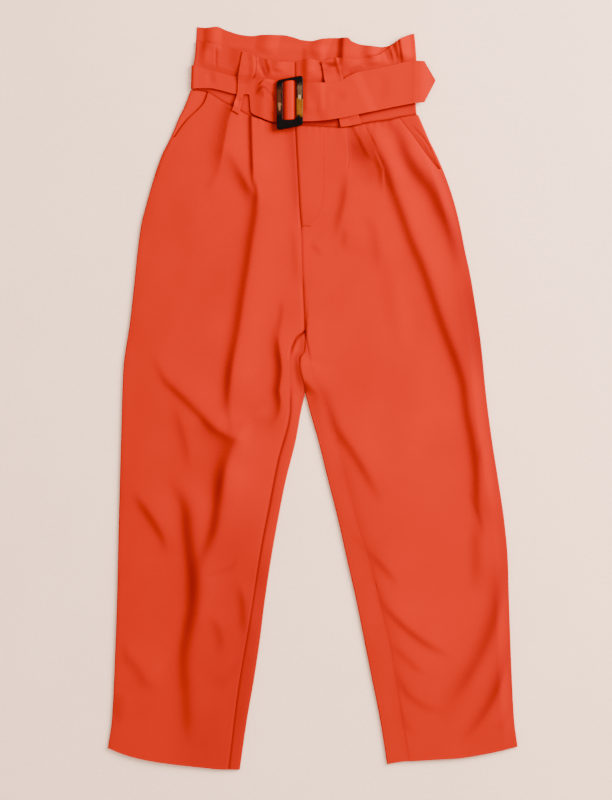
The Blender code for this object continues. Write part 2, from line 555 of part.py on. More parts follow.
# ================================================================ sheets
def edge_roll(x_edge, towards, low, high, steps=FOLD_STEPS, first=0):
    """Points (x, z) of the roll at a side edge, from its top round to its underside."""
    radius = (high - low) / 2
    middle = (high + low) / 2
    found = []
    for step in range(first, steps + 1):
        angle = math.pi * step / steps
        found.append((x_edge - towards * radius * (1 - np.sin(angle)), middle + radius * np.cos(angle)))
    return found


def link(thing, collection):
    collection.objects.link(thing)


def material(name, finish):
    made = bpy.data.materials.new(name)
    made.use_nodes = True
    shader = made.node_tree.nodes["Principled BSDF"]
    shader.inputs["Base Color"].default_value = (*finish["colour"], 1.0)
    shader.inputs["Roughness"].default_value = finish["roughness"]
    shader.inputs["Metallic"].default_value = finish["metallic"]
    made.diffuse_color = (*finish["colour"], 1.0)
    return made


def sheet(name, x, y, z, kept, faces_up, collection):
    """One piece of cloth: a grid placed on (x, y, z), cut to the kept cells, with its wall inwards."""
    rows, columns = x.shape
    mesh = bpy.data.meshes.new(name)
    grid = bmesh.new()
    bmesh.ops.create_grid(grid, x_segments=columns - 1, y_segments=rows - 1, size=1)
    for vert in grid.verts:
        column = round((vert.co.x + 1) / 2 * (columns - 1))
        row = round((1 - vert.co.y) / 2 * (rows - 1))
        vert.co = (x[row, column] * MM, y[row, column] * MM, z[row, column] * MM)
        vert.index = row * columns + column
    if kept is not None:
        dropped = []
        for face in grid.faces:
            corner = min(vert.index for vert in face.verts)
            if not kept[corner // columns, corner % columns]:
                dropped.append(face)
        bmesh.ops.delete(grid, geom=dropped, context="FACES")
    if not faces_up:
        bmesh.ops.reverse_faces(grid, faces=grid.faces[:])
    grid.to_mesh(mesh)
    grid.free()
    mesh.shade_smooth()
    thing = bpy.data.objects.new(name, mesh)
    thing.data.materials.append(material(name, CLOTH))
    wall = thing.modifiers.new("wall", "SOLIDIFY")
    wall.thickness = WALL * MM
    wall.offset = -1
    link(thing, collection)
    return thing


# ================================================================ panels
def panel_y(rows, share, x_of, seam, hem):
    """Rows of a panel: straight between the two sides, bent to the seam above and the hem below."""
    inner = np.array([row.inner for row in rows], float)[:, None]
    outer = np.array([row.outer for row in rows], float)[:, None]
    waist = np.array([row.waist for row in rows], float)[:, None]
    low = np.array([row.hem for row in rows], float)[:, None]
    y = inner + (outer - inner) * share
    straight_top = inner[0] + (outer[0] - inner[0]) * share
    straight_hem = inner[-1] + (outer[-1] - inner[-1]) * share
    bent = y
    for _ in range(SEAM_PASSES):
        x = x_of(bent, share)
        bent = y + waist * (smooth_value(seam, x) - WAIST_SEAM_GAP / 2 - straight_top)
        bent = bent + low * (smooth_value(hem, x) - straight_hem)
    return bent


def level_rows(heights):
    return tuple(PanelRow(y, y, 0, 0) for y in heights)


def leg_rows():
    count = round((CROTCH_Y - LEG_ROWS_END) / LEG_ROW_STEP)
    return level_rows(CROTCH_Y - (CROTCH_Y - LEG_ROWS_END) * (k + 1) / count for k in range(count))


def front_inner_x(side, y):
    line = np.where(y > CROTCH_POINT_Y, smooth_value(CENTRE_FRONT, y), smooth_value(INSEAM[side], y))
    return line + side * SEAM_GAP / 2


def front_outer_x(side, y):
    at_roll = smooth_value(SIDE_EDGE[side], y) - side * EDGE_RADIUS
    mouth = smooth_value(POCKET_MOUTH[side], y)
    return np.where(y > POCKET_END_Y[side], mouth, at_roll)


def front_panel(side, name, collection):
    rows = FRONT_TOP_ROWS[side] + level_rows(HIP_ROWS) + level_rows(CROTCH_ROWS) + leg_rows() + HEM_ROWS[side]
    share = np.linspace(0, 1, FRONT_COLUMNS + 1)[None, :]

    def x_of(y, s):
        return front_inner_x(side, y) * (1 - s) + front_outer_x(side, y) * s

    y = panel_y(rows, share, x_of, WAIST_SEAM, HEM[side])
    x = x_of(y, share)
    z = cloth_height(x, y)
    edge_y = y[:, -1]
    edge_x = smooth_value(SIDE_EDGE[side], edge_y)
    roll = edge_roll(edge_x, side, 0, EDGE_HEIGHT, first=1)
    roll.append((edge_x - side * (EDGE_RADIUS + LAP_UNDER), np.zeros(len(rows))))
    x = np.column_stack([x] + [points[0] for points in roll])
    z = np.column_stack([z] + [np.broadcast_to(points[1], len(rows)) for points in roll])
    y = np.column_stack([y] + [edge_y] * len(roll))
    kept = np.ones((x.shape[0] - 1, x.shape[1] - 1), bool)
    kept[edge_y[:-1] > POCKET_END_Y[side] - FRONT_BELOW_POCKET_END, FRONT_COLUMNS:] = False
    sheet(name, x, y, z, kept, side == LEFT, collection)


def back_inner_x(side, y):
    """The back's inner boundary underneath: centre back seam, then where the inner leg rolls up."""
    seam = smooth_value(CENTRE_BACK, y) + side * SEAM_GAP / 2
    roll = smooth_value(INNER_EDGE[side], y) + side * EDGE_RADIUS
    return np.where(y > CROTCH_Y + 1, seam, roll)


def back_panel(side, name, collection):
    rows = BACK_TOP_ROWS[side] + level_rows(BACK_HIP_ROWS) + level_rows(BACK_CROTCH_ROWS[side])
    first_fork_row = len(BACK_TOP_ROWS[side]) + len(BACK_HIP_ROWS)
    crotch_row = len(rows) - 1
    rows = rows + leg_rows() + HEM_ROWS[side]
    share = np.linspace(0, 1, BACK_COLUMNS + 1)[None, :]

    def x_of(y, s):
        outseam = smooth_value(SIDE_EDGE[side], y) - side * (EDGE_RADIUS + LAP_UNDER + OUTSEAM_GAP)
        return outseam * (1 - s) + back_inner_x(side, y) * s

    outer_first = tuple(PanelRow(row.outer, row.inner, row.waist, row.hem) for row in rows)
    y = panel_y(outer_first, share, x_of, BACK_WAIST_SEAM, HEM[side])
    x = x_of(y, share)
    z = np.zeros_like(x)
    inner_y = y[:, -1]
    inner_x = smooth_value(INNER_EDGE[side], inner_y)
    roll = edge_roll(inner_x, -side, 0, EDGE_HEIGHT)[::-1][1:-1]
    fork_share = np.linspace(0, 1, FORK_COLUMNS + 1)[None, :]
    above_crotch = inner_y > CROTCH_Y + 1
    roll_end = inner_x + side * EDGE_RADIUS
    fork_seam = smooth_value(FORK_EDGE, inner_y) + side * SEAM_GAP / 2
    fork_start = np.where(above_crotch, fork_seam, roll_end)[:, None]
    fork_end = (smooth_value(INSEAM[side], inner_y) - side * SEAM_GAP / 2)[:, None]
    fork_x = fork_start * (1 - fork_share) + fork_end * fork_share
    fork_y = np.repeat(inner_y[:, None], FORK_COLUMNS + 1, axis=1)
    hem_weight = np.array([row.hem for row in rows], float)[:, None]
    at_hem = smooth_value(HEM[side], fork_x) - smooth_value(HEM[side], inner_x)[:, None]
    fork_y = fork_y + hem_weight * at_hem
    fork_z = cloth_height(fork_x, fork_y)
    x = np.column_stack([x] + [points[0] for points in roll] + [fork_x])
    z = np.column_stack([z] + [np.broadcast_to(points[1], len(rows)) for points in roll] + [fork_z])
    y = np.column_stack([y] + [inner_y] * len(roll) + [fork_y])
    kept = np.ones((x.shape[0] - 1, x.shape[1] - 1), bool)
    kept[:crotch_row, BACK_COLUMNS : BACK_COLUMNS + FOLD_STEPS] = False
    kept[:first_fork_row, BACK_COLUMNS:] = False
    sheet(name, x, y, z, kept, side == LEFT, collection)


def pocket_side(side, name, collection):
    """The piece behind a slant pocket mouth: under the front at its inner side, round the side edge."""
    share = np.linspace(0, 1, POCKET_SIDE_COLUMNS + 1)[None, :]
    down = np.linspace(0, 1, POCKET_SIDE_ROWS + 1)[:, None]

    def x_of(y, s):
        under = smooth_value(POCKET_MOUTH[side], y) - side * POCKET_UNDERLAP
        at_roll = smooth_value(SIDE_EDGE[side], y) - side * EDGE_RADIUS
        return under * (1 - s) + at_roll * s

    low = POCKET_END_Y[side] + POCKET_SIDE_ABOVE_END
    top = FIRST_BAND_Y.start * np.ones_like(share)
    for _ in range(SEAM_PASSES):
        top = smooth_value(WAIST_SEAM, x_of(top, share)) - WAIST_SEAM_GAP / 2
    y = top * (1 - down) + low * down
    x = x_of(y, share)
    mouth = smooth_value(POCKET_MOUTH[side], y)
    at_roll = smooth_value(SIDE_EDGE[side], y) - side * EDGE_RADIUS
    out = np.clip((x - mouth) / (at_roll - mouth), 0, 1)
    z = INNER_PIECE_TOP + (EDGE_HEIGHT - INNER_PIECE_TOP) * fade(out, 0.1, 1)
    edge_y = y[:, -1]
    edge_x = smooth_value(SIDE_EDGE[side], edge_y)
    roll = edge_roll(edge_x, side, 0, EDGE_HEIGHT, first=1)
    roll.append((edge_x - side * (EDGE_RADIUS + LAP_UNDER), 0.0))
    x = np.column_stack([x] + [points[0] for points in roll])
    z = np.column_stack([z] + [np.broadcast_to(points[1], len(edge_y)) for points in roll])
    y = np.column_stack([y] + [edge_y] * len(roll))
    sheet(name, x, y, z, None, side == LEFT, collection)


def fly_shield(collection):
    """The underlap behind the centre front opening."""
    across = np.linspace(*FLY_SHIELD_FROM_CENTRE, 4)[None, :]
    y = np.linspace(*FLY_SHIELD_Y, 6)[:, None] * np.ones_like(across)
    x = smooth_value(CENTRE_FRONT, y) + across
    z = np.full_like(x, INNER_PIECE_TOP)
    sheet("fly_shield", x, y, z, None, True, collection)


# ================================================================ waistband
def front_band(side, name, collection):
    share = np.linspace(0, 1, FRONT_BAND_COLUMNS + 1)[None, :]
    up = np.array(BAND_ROWS)[:, None]

    def x_of(y, s):
        at_roll = smooth_value(BAND_EDGE[side], y) - side * EDGE_RADIUS
        return (smooth_value(CENTRE_FRONT, y) + side * SEAM_GAP / 2) * (1 - s) + at_roll * s

    y = FIRST_BAND_Y.start * (1 - up) + FIRST_BAND_Y.end * up * np.ones_like(share)
    for _ in range(SEAM_PASSES):
        x = x_of(y, share)
        seam = smooth_value(WAIST_SEAM, x) + WAIST_SEAM_GAP / 2
        y = seam * (1 - up) + smooth_value(FRONT_FRILL_TOP, x) * up
    x = x_of(y, share)
    z = band_height(x, y)
    edge_y = y[:, -1]
    edge_x = smooth_value(BAND_EDGE[side], edge_y)
    low = band_bottom(edge_x, edge_y)
    roll = edge_roll(edge_x, side, low, low + EDGE_HEIGHT, first=1)
    roll.append((edge_x - side * (EDGE_RADIUS + LAP_UNDER), low))
    x = np.column_stack([x] + [points[0] for points in roll])
    z = np.column_stack([z] + [points[1] for points in roll])
    y = np.column_stack([y] + [edge_y] * len(roll))
    sheet(name, x, y, z, None, side == RIGHT, collection)


def back_band(collection):
    up = np.array(BAND_ROWS)[:, None]
    x = np.array(BACK_BAND_COLUMNS, float)[None, :] * np.ones_like(up)
    for _ in range(SEAM_PASSES):
        seam = smooth_value(BACK_WAIST_SEAM, x) + WAIST_SEAM_GAP / 2
        y = seam * (1 - up) + smooth_value(BACK_FRILL_TOP, x) * up
        for side, column in ((RIGHT, 0), (LEFT, -1)):
            lap = EDGE_RADIUS + LAP_UNDER + OUTSEAM_GAP
            x[:, column] = smooth_value(BAND_EDGE[side], y[:, column]) - side * lap
    z = band_bottom(x, y)
    sheet("waistband_back", x, y, z, None, True, collection)


# ================================================================ loops and belt
def front_loop(side, name, collection):
    """A belt loop: over the belt at the right side, over the belt's fixed end at the left."""
    belt_height = belt_front_height if side == RIGHT else fixed_belt_height
    rows = LOOP_ROWS[side]
    across = np.linspace(0, 1, 3)[None, :]
    x_from = np.array([row.x_from for row in rows], float)[:, None]
    x_to = np.array([row.x_to for row in rows], float)[:, None]
    x = x_from * (1 - across) + x_to * across
    y = np.array([row.y for row in rows], float)[:, None] * np.ones_like(across)
    on_belt = np.array([row.on_belt for row in rows], float)[:, None]
    z = highest_near(layer_below_loop, x, y, LOOP_REACH) + LAYER
    z = np.maximum(z, on_belt * (highest_near(belt_height, x, y, LOOP_REACH / 2) + LAYER))
    sheet(name, x, y, z, None, True, collection)


def back_loop(collection):
    y = np.linspace(*LOOP_BACK_Y[::-1], 4)[:, None] * np.ones((1, 3))
    x = CENTRE_BACK_WAIST_X + np.linspace(-1, 1, 3)[None, :] * LOOP_BACK_HALF_WIDTH * np.ones((4, 1))
    sheet("loop_back", x, y, np.zeros_like(x), None, False, collection)


def belt_front(collection):
    """From the pointed end over the buckle's centre bar to the right side, and round it."""
    across = np.linspace(0, 1, BELT_FRONT_ROWS)[:, None]
    x = np.array(BELT_FRONT_COLUMNS, float)[None, :] * np.ones_like(across)
    y = smooth_value(BELT_LOW, x) * (1 - across) + smooth_value(BELT_HIGH, x) * across
    z = belt_front_height(x, y)
    tip_x = BELT_TIP_X + BELT_TIP_LENGTH * (1 - np.abs(2 * across - 1))
    tip_z = belt_front_height(tip_x + TIP_HEIGHT_AHEAD, y[:, :1])
    x[:, 0] = TIP_SHOULDER_X
    z[:, 0] = belt_front_height(x[:, 0], y[:, 0])
    edge_y = y[:, -1]
    edge_x = smooth_value(BELT_EDGE[RIGHT], edge_y)
    top = band_height(edge_x + BELT_EDGE_INSET, edge_y) + LAYER
    roll = edge_roll(edge_x, RIGHT, 0, top)
    under_x = np.array([BELT_FRONT_UNDER_X, BELT_JOIN_X])
    flat = np.zeros(len(edge_y))
    x = np.column_stack([tip_x, x] + [points[0] for points in roll] + [flat + value for value in under_x])
    z = np.column_stack([tip_z, z] + [points[1] for points in roll] + [flat] * len(under_x))
    under_low = smooth_value(BELT_BACK_LOW, under_x)
    under_high = smooth_value(BELT_BACK_HIGH, under_x)
    under_y = under_low * (1 - across) + under_high * across
    y = np.column_stack([y[:, :1], y] + [edge_y] * len(roll) + [under_y])
    sheet("belt_front", x, y, z, None, True, collection)


def belt_back(collection):
    """Under the back, round the left side, under the free end and round the buckle's centre bar."""
    across = np.linspace(0, 1, BELT_BACK_ROWS)[:, None]
    under_x = np.array([BELT_JOIN_X + BELT_JOIN_GAP, *BELT_BACK_COLUMNS])
    low = smooth_value(BELT_BACK_LOW, under_x)
    high = smooth_value(BELT_BACK_HIGH, under_x)
    under_y = low * (1 - across) + high * across
    under_z = loop_back_lift(under_x[None, :], BELT_MIDDLE_Y * np.ones_like(under_y))
    edge_y = under_y[:, -1]
    edge_x = smooth_value(BELT_EDGE[LEFT], edge_y)
    top = band_height(edge_x - BELT_EDGE_INSET, edge_y) + LAYER
    roll = edge_roll(edge_x, LEFT, 0, top)[::-1]
    on_top = np.array(FIXED_END_COLUMNS, float)
    inset_low = FIXED_INSET_LOW + FIXED_INSET_AT_BAR * fade(on_top, *FIXED_AT_BAR)
    fixed_low = smooth_value(BELT_LOW, on_top) + inset_low
    fixed_high = smooth_value(BELT_HIGH, on_top) - FIXED_INSET_HIGH
    fixed_y = fixed_low * (1 - across) + fixed_high * across
    fixed_z = fixed_belt_height(on_top[None, :], fixed_y)
    inner_radius = CENTRE_BAR_RADIUS + CURL_GAP
    curl_angle = np.radians(CURL_ANGLES)
    curl_x = CENTRE_BAR_X + inner_radius * np.cos(curl_angle)
    bar_z = CENTRE_BAR_Z - buckle_drop(fixed_y[:, -1])
    curl_z = bar_z[:, None] + inner_radius * np.sin(curl_angle)[None, :]
    each_row = np.ones_like(across)
    roll_x = [points[0] for points in roll]
    x = np.column_stack([under_x * each_row] + roll_x + [on_top * each_row, curl_x * each_row])
    z = np.column_stack([under_z] + [points[1] for points in roll] + [fixed_z, curl_z])
    y = np.column_stack([under_y] + [edge_y] * len(roll) + [fixed_y] + [fixed_y[:, -1]] * len(curl_angle))
    sheet("belt_back", x, y, z, None, True, collection)


# ================================================================ buckle
def rounded_outline(outline, steps=4):
    """Points round a leaning rectangle with round corners, counter-clockwise."""
    found = []
    for sign_x, sign_y, turn in ((1, 1, 0), (-1, 1, 90), (-1, -1, 180), (1, -1, 270)):
        for step in range(steps + 1):
            angle = math.radians(turn + 90 * step / steps)
            x = sign_x * (outline.half_x - outline.corner) + outline.corner * math.cos(angle)
            y = sign_y * (outline.half_y - outline.corner) + outline.corner * math.sin(angle)
            found.append((outline.centre_x + x, outline.centre_y + y + x * math.tan(outline.lean)))
    return found


def buckle_drop(y):
    """The buckle's tilt: how much lower it lies towards its upper end."""
    return math.sin(BUCKLE_TILT) * (y - BUCKLE_OUTSIDE.centre_y)


def buckle(collection, helpers):
    """A frame with round edges, joined with its centre bar."""
    frame = bmesh.new()
    for outline in (BUCKLE_OUTSIDE, BUCKLE_WINDOW):
        ring = []
        for x, y in rounded_outline(outline):
            ring.append(frame.verts.new((x * MM, y * MM, (BUCKLE_Z - BUCKLE_DEPTH / 2) * MM)))
        for k, vert in enumerate(ring):
            frame.edges.new((vert, ring[(k + 1) % len(ring)]))
    bmesh.ops.bridge_loops(frame, edges=frame.edges[:])
    raised = bmesh.ops.extrude_face_region(frame, geom=frame.faces[:])
    moved = [item for item in raised["geom"] if isinstance(item, bmesh.types.BMVert)]
    bmesh.ops.translate(frame, verts=moved, vec=(0, 0, BUCKLE_DEPTH * MM))
    bmesh.ops.recalc_face_normals(frame, faces=frame.faces[:])
    rims = [edge for edge in frame.edges if edge.calc_face_angle(0) > math.radians(60)]
    bmesh.ops.bevel(
        frame, geom=rims, offset=BUCKLE_EDGE_ROUND * MM, offset_type="OFFSET", segments=2, profile=0.5,
        affect="EDGES", material=-1)
    bar = bmesh.new()
    bmesh.ops.create_cone(
        bar, cap_ends=True, segments=CENTRE_BAR_SIDES, radius1=CENTRE_BAR_RADIUS * MM,
        radius2=CENTRE_BAR_RADIUS * MM, depth=2 * (BUCKLE_WINDOW.half_y + CENTRE_BAR_INTO_FRAME) * MM)
    turned = Matrix.Rotation(math.radians(90), 3, "X")
    bmesh.ops.rotate(bar, cent=(0, 0, 0), matrix=turned, verts=bar.verts)
    to_place = (CENTRE_BAR_X * MM, BUCKLE_WINDOW.centre_y * MM, CENTRE_BAR_Z * MM)
    bmesh.ops.translate(bar, vec=to_place, verts=bar.verts)
    made = []
    for name, source in (("buckle", frame), ("buckle_centre_bar", bar)):
        for vert in source.verts:
            vert.co.z -= buckle_drop(vert.co.y / MM) * MM
        mesh = bpy.data.meshes.new(name)
        source.to_mesh(mesh)
        source.free()
        mesh.shade_smooth()
        made.append(bpy.data.objects.new(name, mesh))
    thing, bar_thing = made
    thing.data.materials.append(material("buckle", TORTOISESHELL))
    bar_thing.hide_render = True
    bar_thing.display_type = "WIRE"
    union = thing.modifiers.new("centre bar", "BOOLEAN")
    union.operation = "UNION"
    union.solver = "EXACT"
    union.object = bar_thing
    link(thing, collection)
    link(bar_thing, helpers)


# ================================================================ the whole
def build():
    for thing in list(bpy.data.objects):
        bpy.data.objects.remove(thing, do_unlink=True)
    collection = bpy.data.collections.new("paperbag_trousers")
    helpers = bpy.data.collections.new("helpers")
    for group in (collection, helpers):
        bpy.context.scene.collection.children.link(group)
    front_panel(RIGHT, "front_right", collection)
    front_panel(LEFT, "front_left", collection)
    back_panel(RIGHT, "back_right", collection)
    back_panel(LEFT, "back_left", collection)
    pocket_side(RIGHT, "pocket_side_right", collection)
    pocket_side(LEFT, "pocket_side_left", collection)
    fly_shield(collection)
    front_band(RIGHT, "waistband_front_right", collection)
    front_band(LEFT, "waistband_front_left", collection)
    back_band(collection)
    front_loop(RIGHT, "loop_right", collection)
    front_loop(LEFT, "loop_left", collection)
    back_loop(collection)
    belt_front(collection)
    belt_back(collection)
    buckle(collection, helpers)


build()
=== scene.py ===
"""Paperbag waist trousers with a tortoiseshell buckle, laid flat on a pale surface.

Laid out as a Blender add-on and run as a script. "Right" and "left" are the wearer's.
The front faces up, so the right leg lies at -X, and the waist is at +Y.
Tables and functions work in millimetres. A mesh is scaled to metres when it is made.
"""

import math
from collections import namedtuple

import bmesh
import bpy
import numpy as np
from bpy.props import FloatProperty, FloatVectorProperty, PointerProperty
from mathutils import Matrix, Vector


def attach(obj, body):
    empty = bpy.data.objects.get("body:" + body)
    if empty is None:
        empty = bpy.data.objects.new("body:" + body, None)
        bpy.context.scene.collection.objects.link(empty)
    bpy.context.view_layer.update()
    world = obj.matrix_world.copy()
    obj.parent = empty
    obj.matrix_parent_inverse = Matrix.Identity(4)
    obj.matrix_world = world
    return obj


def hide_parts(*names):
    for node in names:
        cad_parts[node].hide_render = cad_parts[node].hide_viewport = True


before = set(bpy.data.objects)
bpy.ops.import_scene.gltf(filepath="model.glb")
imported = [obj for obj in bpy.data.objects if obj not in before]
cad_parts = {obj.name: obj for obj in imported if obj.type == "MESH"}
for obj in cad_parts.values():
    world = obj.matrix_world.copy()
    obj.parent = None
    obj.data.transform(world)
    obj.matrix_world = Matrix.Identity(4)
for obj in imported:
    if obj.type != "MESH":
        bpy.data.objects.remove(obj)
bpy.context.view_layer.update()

bl_info = {
    "name": "Paperbag trousers",
    "version": (1, 0, 0),
    "blender": (4, 5, 0),
    "location": "View3D > Sidebar > Trousers",
    "description": "Builds belted paperbag waist trousers laid flat, with their floor, lights and camera",
    "category": "Object",
}

MM = 0.001
RIGHT = -1
LEFT = 1
CAMERA_PLACE = (-0.0095, -0.002)
FLOOR_SIZE = 4
Lamp = namedtuple("Lamp", "name place size colour")
WINDOW_LAMP = Lamp("window_light", (1.9, 1.0, 1.6), 1.65, (1.0, 0.98, 0.95))
ROOM_LAMP = Lamp("room_light", (-1.5, -1.0, 1.7), 2.4, (1.0, 0.97, 0.94))

# Cloth
WALL = 1.2
SEAM_GAP = 0.04
WAIST_SEAM_GAP = 0.08
# Seams, by y: how deep the cloth dips at them; the centre front's and the inseams' depths also set how dark
# their painted shade is, and FORK_SHADE is the painted shade along the fork seam
CENTRE_FRONT_DEPTH = ((80, 2), (146, 1.8), (166, 0.7), (226, 0.7), (234, 2.4), (366, 2.4))
FORK_DEPTH = ((6, 2.6), (30, 1.8), (44, 1.4), (54, 2.8), (62, 1.6), (90, 0.8))
FORK_SHADE = ((6, 1), (30, 0.9), (44, 0.7), (56, 1), (66, 0.5), (90, 0.4))
INSEAM_DEPTH = {
    RIGHT: ((90, 1), (72, 0.5), (50, 0.15), (20, 0.2), (-4, 1), (-40, 1.4), (-380, 1.4), (-500, 1)),
    LEFT: ((90, 1), (66, 0.8), (48, 0.12), (-80, 0.08), (-200, 0.25), (-500, 0.35)),
}
OUTSEAM_GAP = 1.0
LAYER_GAP = 0.5
LAYER = WALL + LAYER_GAP
EDGE_RADIUS = 2.25
EDGE_HEIGHT = 2 * EDGE_RADIUS
ROLL_STEPS = 8
LAP_UNDER = 3.0
BACK_INSET = EDGE_RADIUS + LAP_UNDER + OUTSEAM_GAP
RIM_ROUND = 0.35
POCKET_RIM_ROUND = 0.3
LOWEST_FRONT = 3.0
LOWEST_OVER_PIECE = 5.0
INNER_PIECE_TOP = WALL + LAYER_GAP + WALL
LOFT = 2.0
LOFT_REACH = 30.0
WAIST_LOFT = 0.12
WAIST_LOFT_REACH = 70.0
PUCKER = 0.3
PUCKER_REACH = 7.0
STITCH_PULL = 0.55
STITCH_PULL_REACH = 1.5
SEAM_SLOPE = 0.25
SEAM_SLOPE_REACH = 6
BAND_CENTRE_DEPTH = 1.6

# Folds: how far a drape's crest reaches back, how its ends fade, and where side edges calm it
DRAPE_REACH = 32.0
END_FADE = 75.0
EDGE_CALM = 17.0
PUCKER_CALM = 10.0
BACK_CALM = (8, 24)
BAND_CALM = 14

# Shade of folds, seams and edges in the cloth's colour
TONE_OF_STEEPNESS = 1.4
DEEPEST_SHARE = 0.7
SEAM_SHADE_REACH = 1.4
FORK_SHADE_REACH = 1.6
MOUTH_SHADE_REACH = 2.4
INSEAM_SHADE_REACH = 2.2
WIDE_SHADE = 0.3
WIDE_INSEAM_REACH = 7.0
WIDE_BELT_REACH = 12.0

# Shape of the two legs
CROTCH_Y = 6.0
CROTCH_POINT_Y = 90.0
CENTRE_BACK_X = -10.5
CENTRE_BACK_WAIST_X = 1.0
POCKET_END_Y = {RIGHT: 351.5, LEFT: 309.0}
POCKET_END_GAP = {RIGHT: 1.6, LEFT: 0.6}
POCKET_UNDERLAP = 20.0
POCKET_MOUTH_DIP = 0.4
POCKET_MOUTH_SLANT = 0.75
FLY_UNDERLAP_X = (-16, 22)
FLY_UNDERLAP_Y = (362, 238)

# Where the front rises over the pocket pieces and the fly underlap, as ranges it rises over
POCKET_RISE_Y = (290, 300)
POCKET_RISE_INSET = (60, 75)
FLY_RISE_Y = (222, 232)
FLY_RISE_X = -8
FLY_RISE_BESIDE = (26, 34)

# Grid of the cloth: how far apart the rows of the legs are, and numbers of cells, along X and along Y
ROW_SPACING = 3.2
FRONT_COLUMNS = 134
BACK_COLUMNS = 29
FORK_CELLS = 9
BAND_CELLS = (100, 67)
BACK_BAND_CELLS = (193, 63)
POCKET_CELLS = (26, 40)
FITTING_ROUNDS = 4

# Belt, loops and buckle
BELT_JOIN_X = -140.0
BELT_JOIN_GAP = 0.6
BELT_TIP_X = 150.0
BELT_TIP_LENGTH = 15.5
BELT_TIP_SHARE = 0.54
BELT_RIGHT_X = -164.4
BELT_RIGHT_LEAN = 0.03
BELT_RIGHT_MIDDLE_Y = 433
BELT_LEFT_X = 140.6
BELT_EDGE_INSET = 4.2
BELT_SPACING = 1.6
BELT_ROWS = 37
BELT_MIDDLE_Y = 430.0
FIXED_END_X = -28.1
FIXED_END_SPACING = 1.8
FIXED_END_ROWS = 31
FIXED_END_INSET = (2, 2.5)
FIXED_END_TAPER = 2
FIXED_END_TAPER_X = (-10, -24)
CURL_GAP = 0.3
CURL_TURN = (-90, -186)
TIP_DROOP = 4.6
TIP_DROOP_X = (143, 168)
BAND_LEFT_END_X = 137
FRILL_HEIGHT = 2.0
FRILL_LOWEST = -1.2
BACK_FRILL_STEP_Y = (481.95, 482.1)
LOOP_BACK_HALF_WIDTH = 5.0
LOOP_BACK_Y = (405.0, 468.0)
LOOP_REACH = 6.0
LOOP_GRID = (60, 13)
LOOP_BELOW_FRILL = 0.4
LOOP_BELOW_SEAM = {RIGHT: 6.0, LEFT: 0.2}
Outline = namedtuple("Outline", "centre_x centre_y half_x half_y lean corner")
BUCKLE_OUTSIDE = Outline(-31.2, 397.4, 17.7, 33.8, math.radians(11), 4.6)
BUCKLE_WINDOW = Outline(-31.6, 401.2, 9.4, 26.4, math.radians(5), 3.0)
BUCKLE_Z = 12.6
BUCKLE_DEPTH = 4.4
BUCKLE_TILT = math.radians(1.6)
BUCKLE_EDGE_ROUND = 0.8
CENTRE_BAR_RADIUS = 1.2
CENTRE_BAR_X = -32.0
CENTRE_BAR_Z = 11.0
CENTRE_BAR_OVERLAP = 1.5

# Clouds in the buckle's resin: where they lie, how soft their ends are, and their colour. The pale cloud on
# the right bar is a painted highlight.
Cloud = namedtuple("Cloud", "name x_low x_high y_low y_high soft colour")
CLOUDS = (
    Cloud("left bar, brown", -48, -42.5, 385, 417, 5.0, (0.05, 0.012, 0.004)),
    Cloud("left bar, pale", -46.6, -44, 388.5, 396.5, 2.0, (0.2, 0.085, 0.035)),
    Cloud("right bar, brown", -21.4, -14.5, 406, 422, 3.0, (0.07, 0.036, 0.018)),
    # Painted highlight: a pale cream band on the right bar
    Cloud("right bar, painted highlight", -20.5, -16, 401.5, 408.5, 2.0, (0.33, 0.19, 0.085)),
    Cloud("right bar, amber", -22.6, -12, 380, 402.5, 2.4, (0.15, 0.045, 0.003)),
)

# ---------------------------------------------------------------- outlines: (y, x) or (x, y)
SIDE_EDGE = {
    RIGHT: (
        (416, -165), (396, -172.5), (376, -182), (362, -187.7), (346, -195), (330, -203.2), (314, -209.2),
        (298, -214.5), (265, -224), (233, -232), (200, -236.5), (152, -241.5), (103, -247),
        (38, -256), (-56, -259), (-164, -262), (-272, -264.5), (-380, -268.5), (-434, -271.5),
        (-471, -276.8),
    ),
    LEFT: (
        (383, 142), (362, 151), (346, 158), (330, 166), (298, 179.5), (265, 190.5), (233, 198.5),
        (200, 205), (168, 212), (136, 217.5), (71, 227), (6, 233.5), (-56, 241.5), (-110, 250),
        (-164, 258), (-218, 263), (-272, 264.5), (-380, 268.5), (-434, 271.5), (-469, 276),
    ),
}
INNER_EDGE = {
    RIGHT: (
        (6, -10.9), (-18, -16.2), (-56, -23), (-110, -36.5), (-164, -47.2), (-218, -56.7),
        (-272, -64.8), (-326, -71.6), (-380, -79.7), (-434, -89.1), (-500, -98.6),
    ),
    LEFT: (
        (6, -10.1), (-18, -4.1), (-56, 6.8), (-110, 20.2), (-164, 33.8), (-218, 45.9),
        (-272, 58.1), (-326, 68.9), (-380, 79.7), (-434, 90.5), (-494, 99.9),
    ),
}
FORK_EDGE = ((90, -10.8), (63, -12.2), (55, -18.6), (44, -18.6), (30, -16), (14, -11.4), (6, -10.5))
CENTRE_FRONT = (
    (460, -24.4), (366, -24.1), (354, -23.5), (330, -22.3), (290, -20), (250, -17.8), (230, -16),
    (200, -14.8), (160, -13.8), (120, -12.3), (90, -10.8),
)
CENTRE_BACK = ((400, CENTRE_BACK_WAIST_X), (240, -3), (90, CENTRE_BACK_X), (2, CENTRE_BACK_X))
INSEAM = {
    RIGHT: (
        (90, -10.8), (82, -23), (66, -28.4), (54, -31), (25, -30.4), (-13, -30.8), (-87, -48),
        (-150, -60.2), (-198, -69.6), (-296, -84.8), (-395, -101.4), (-500, -114),
    ),
    LEFT: (
        (90, -10.8), (59, -4.7), (25, 2.3), (5, 14.2), (-34, 27.9), (-72, 35.9), (-129, 50),
        (-174, 61.7), (-230, 79.7), (-272, 89.1), (-333, 104), (-388, 113.4), (-490, 129.6),
    ),
}
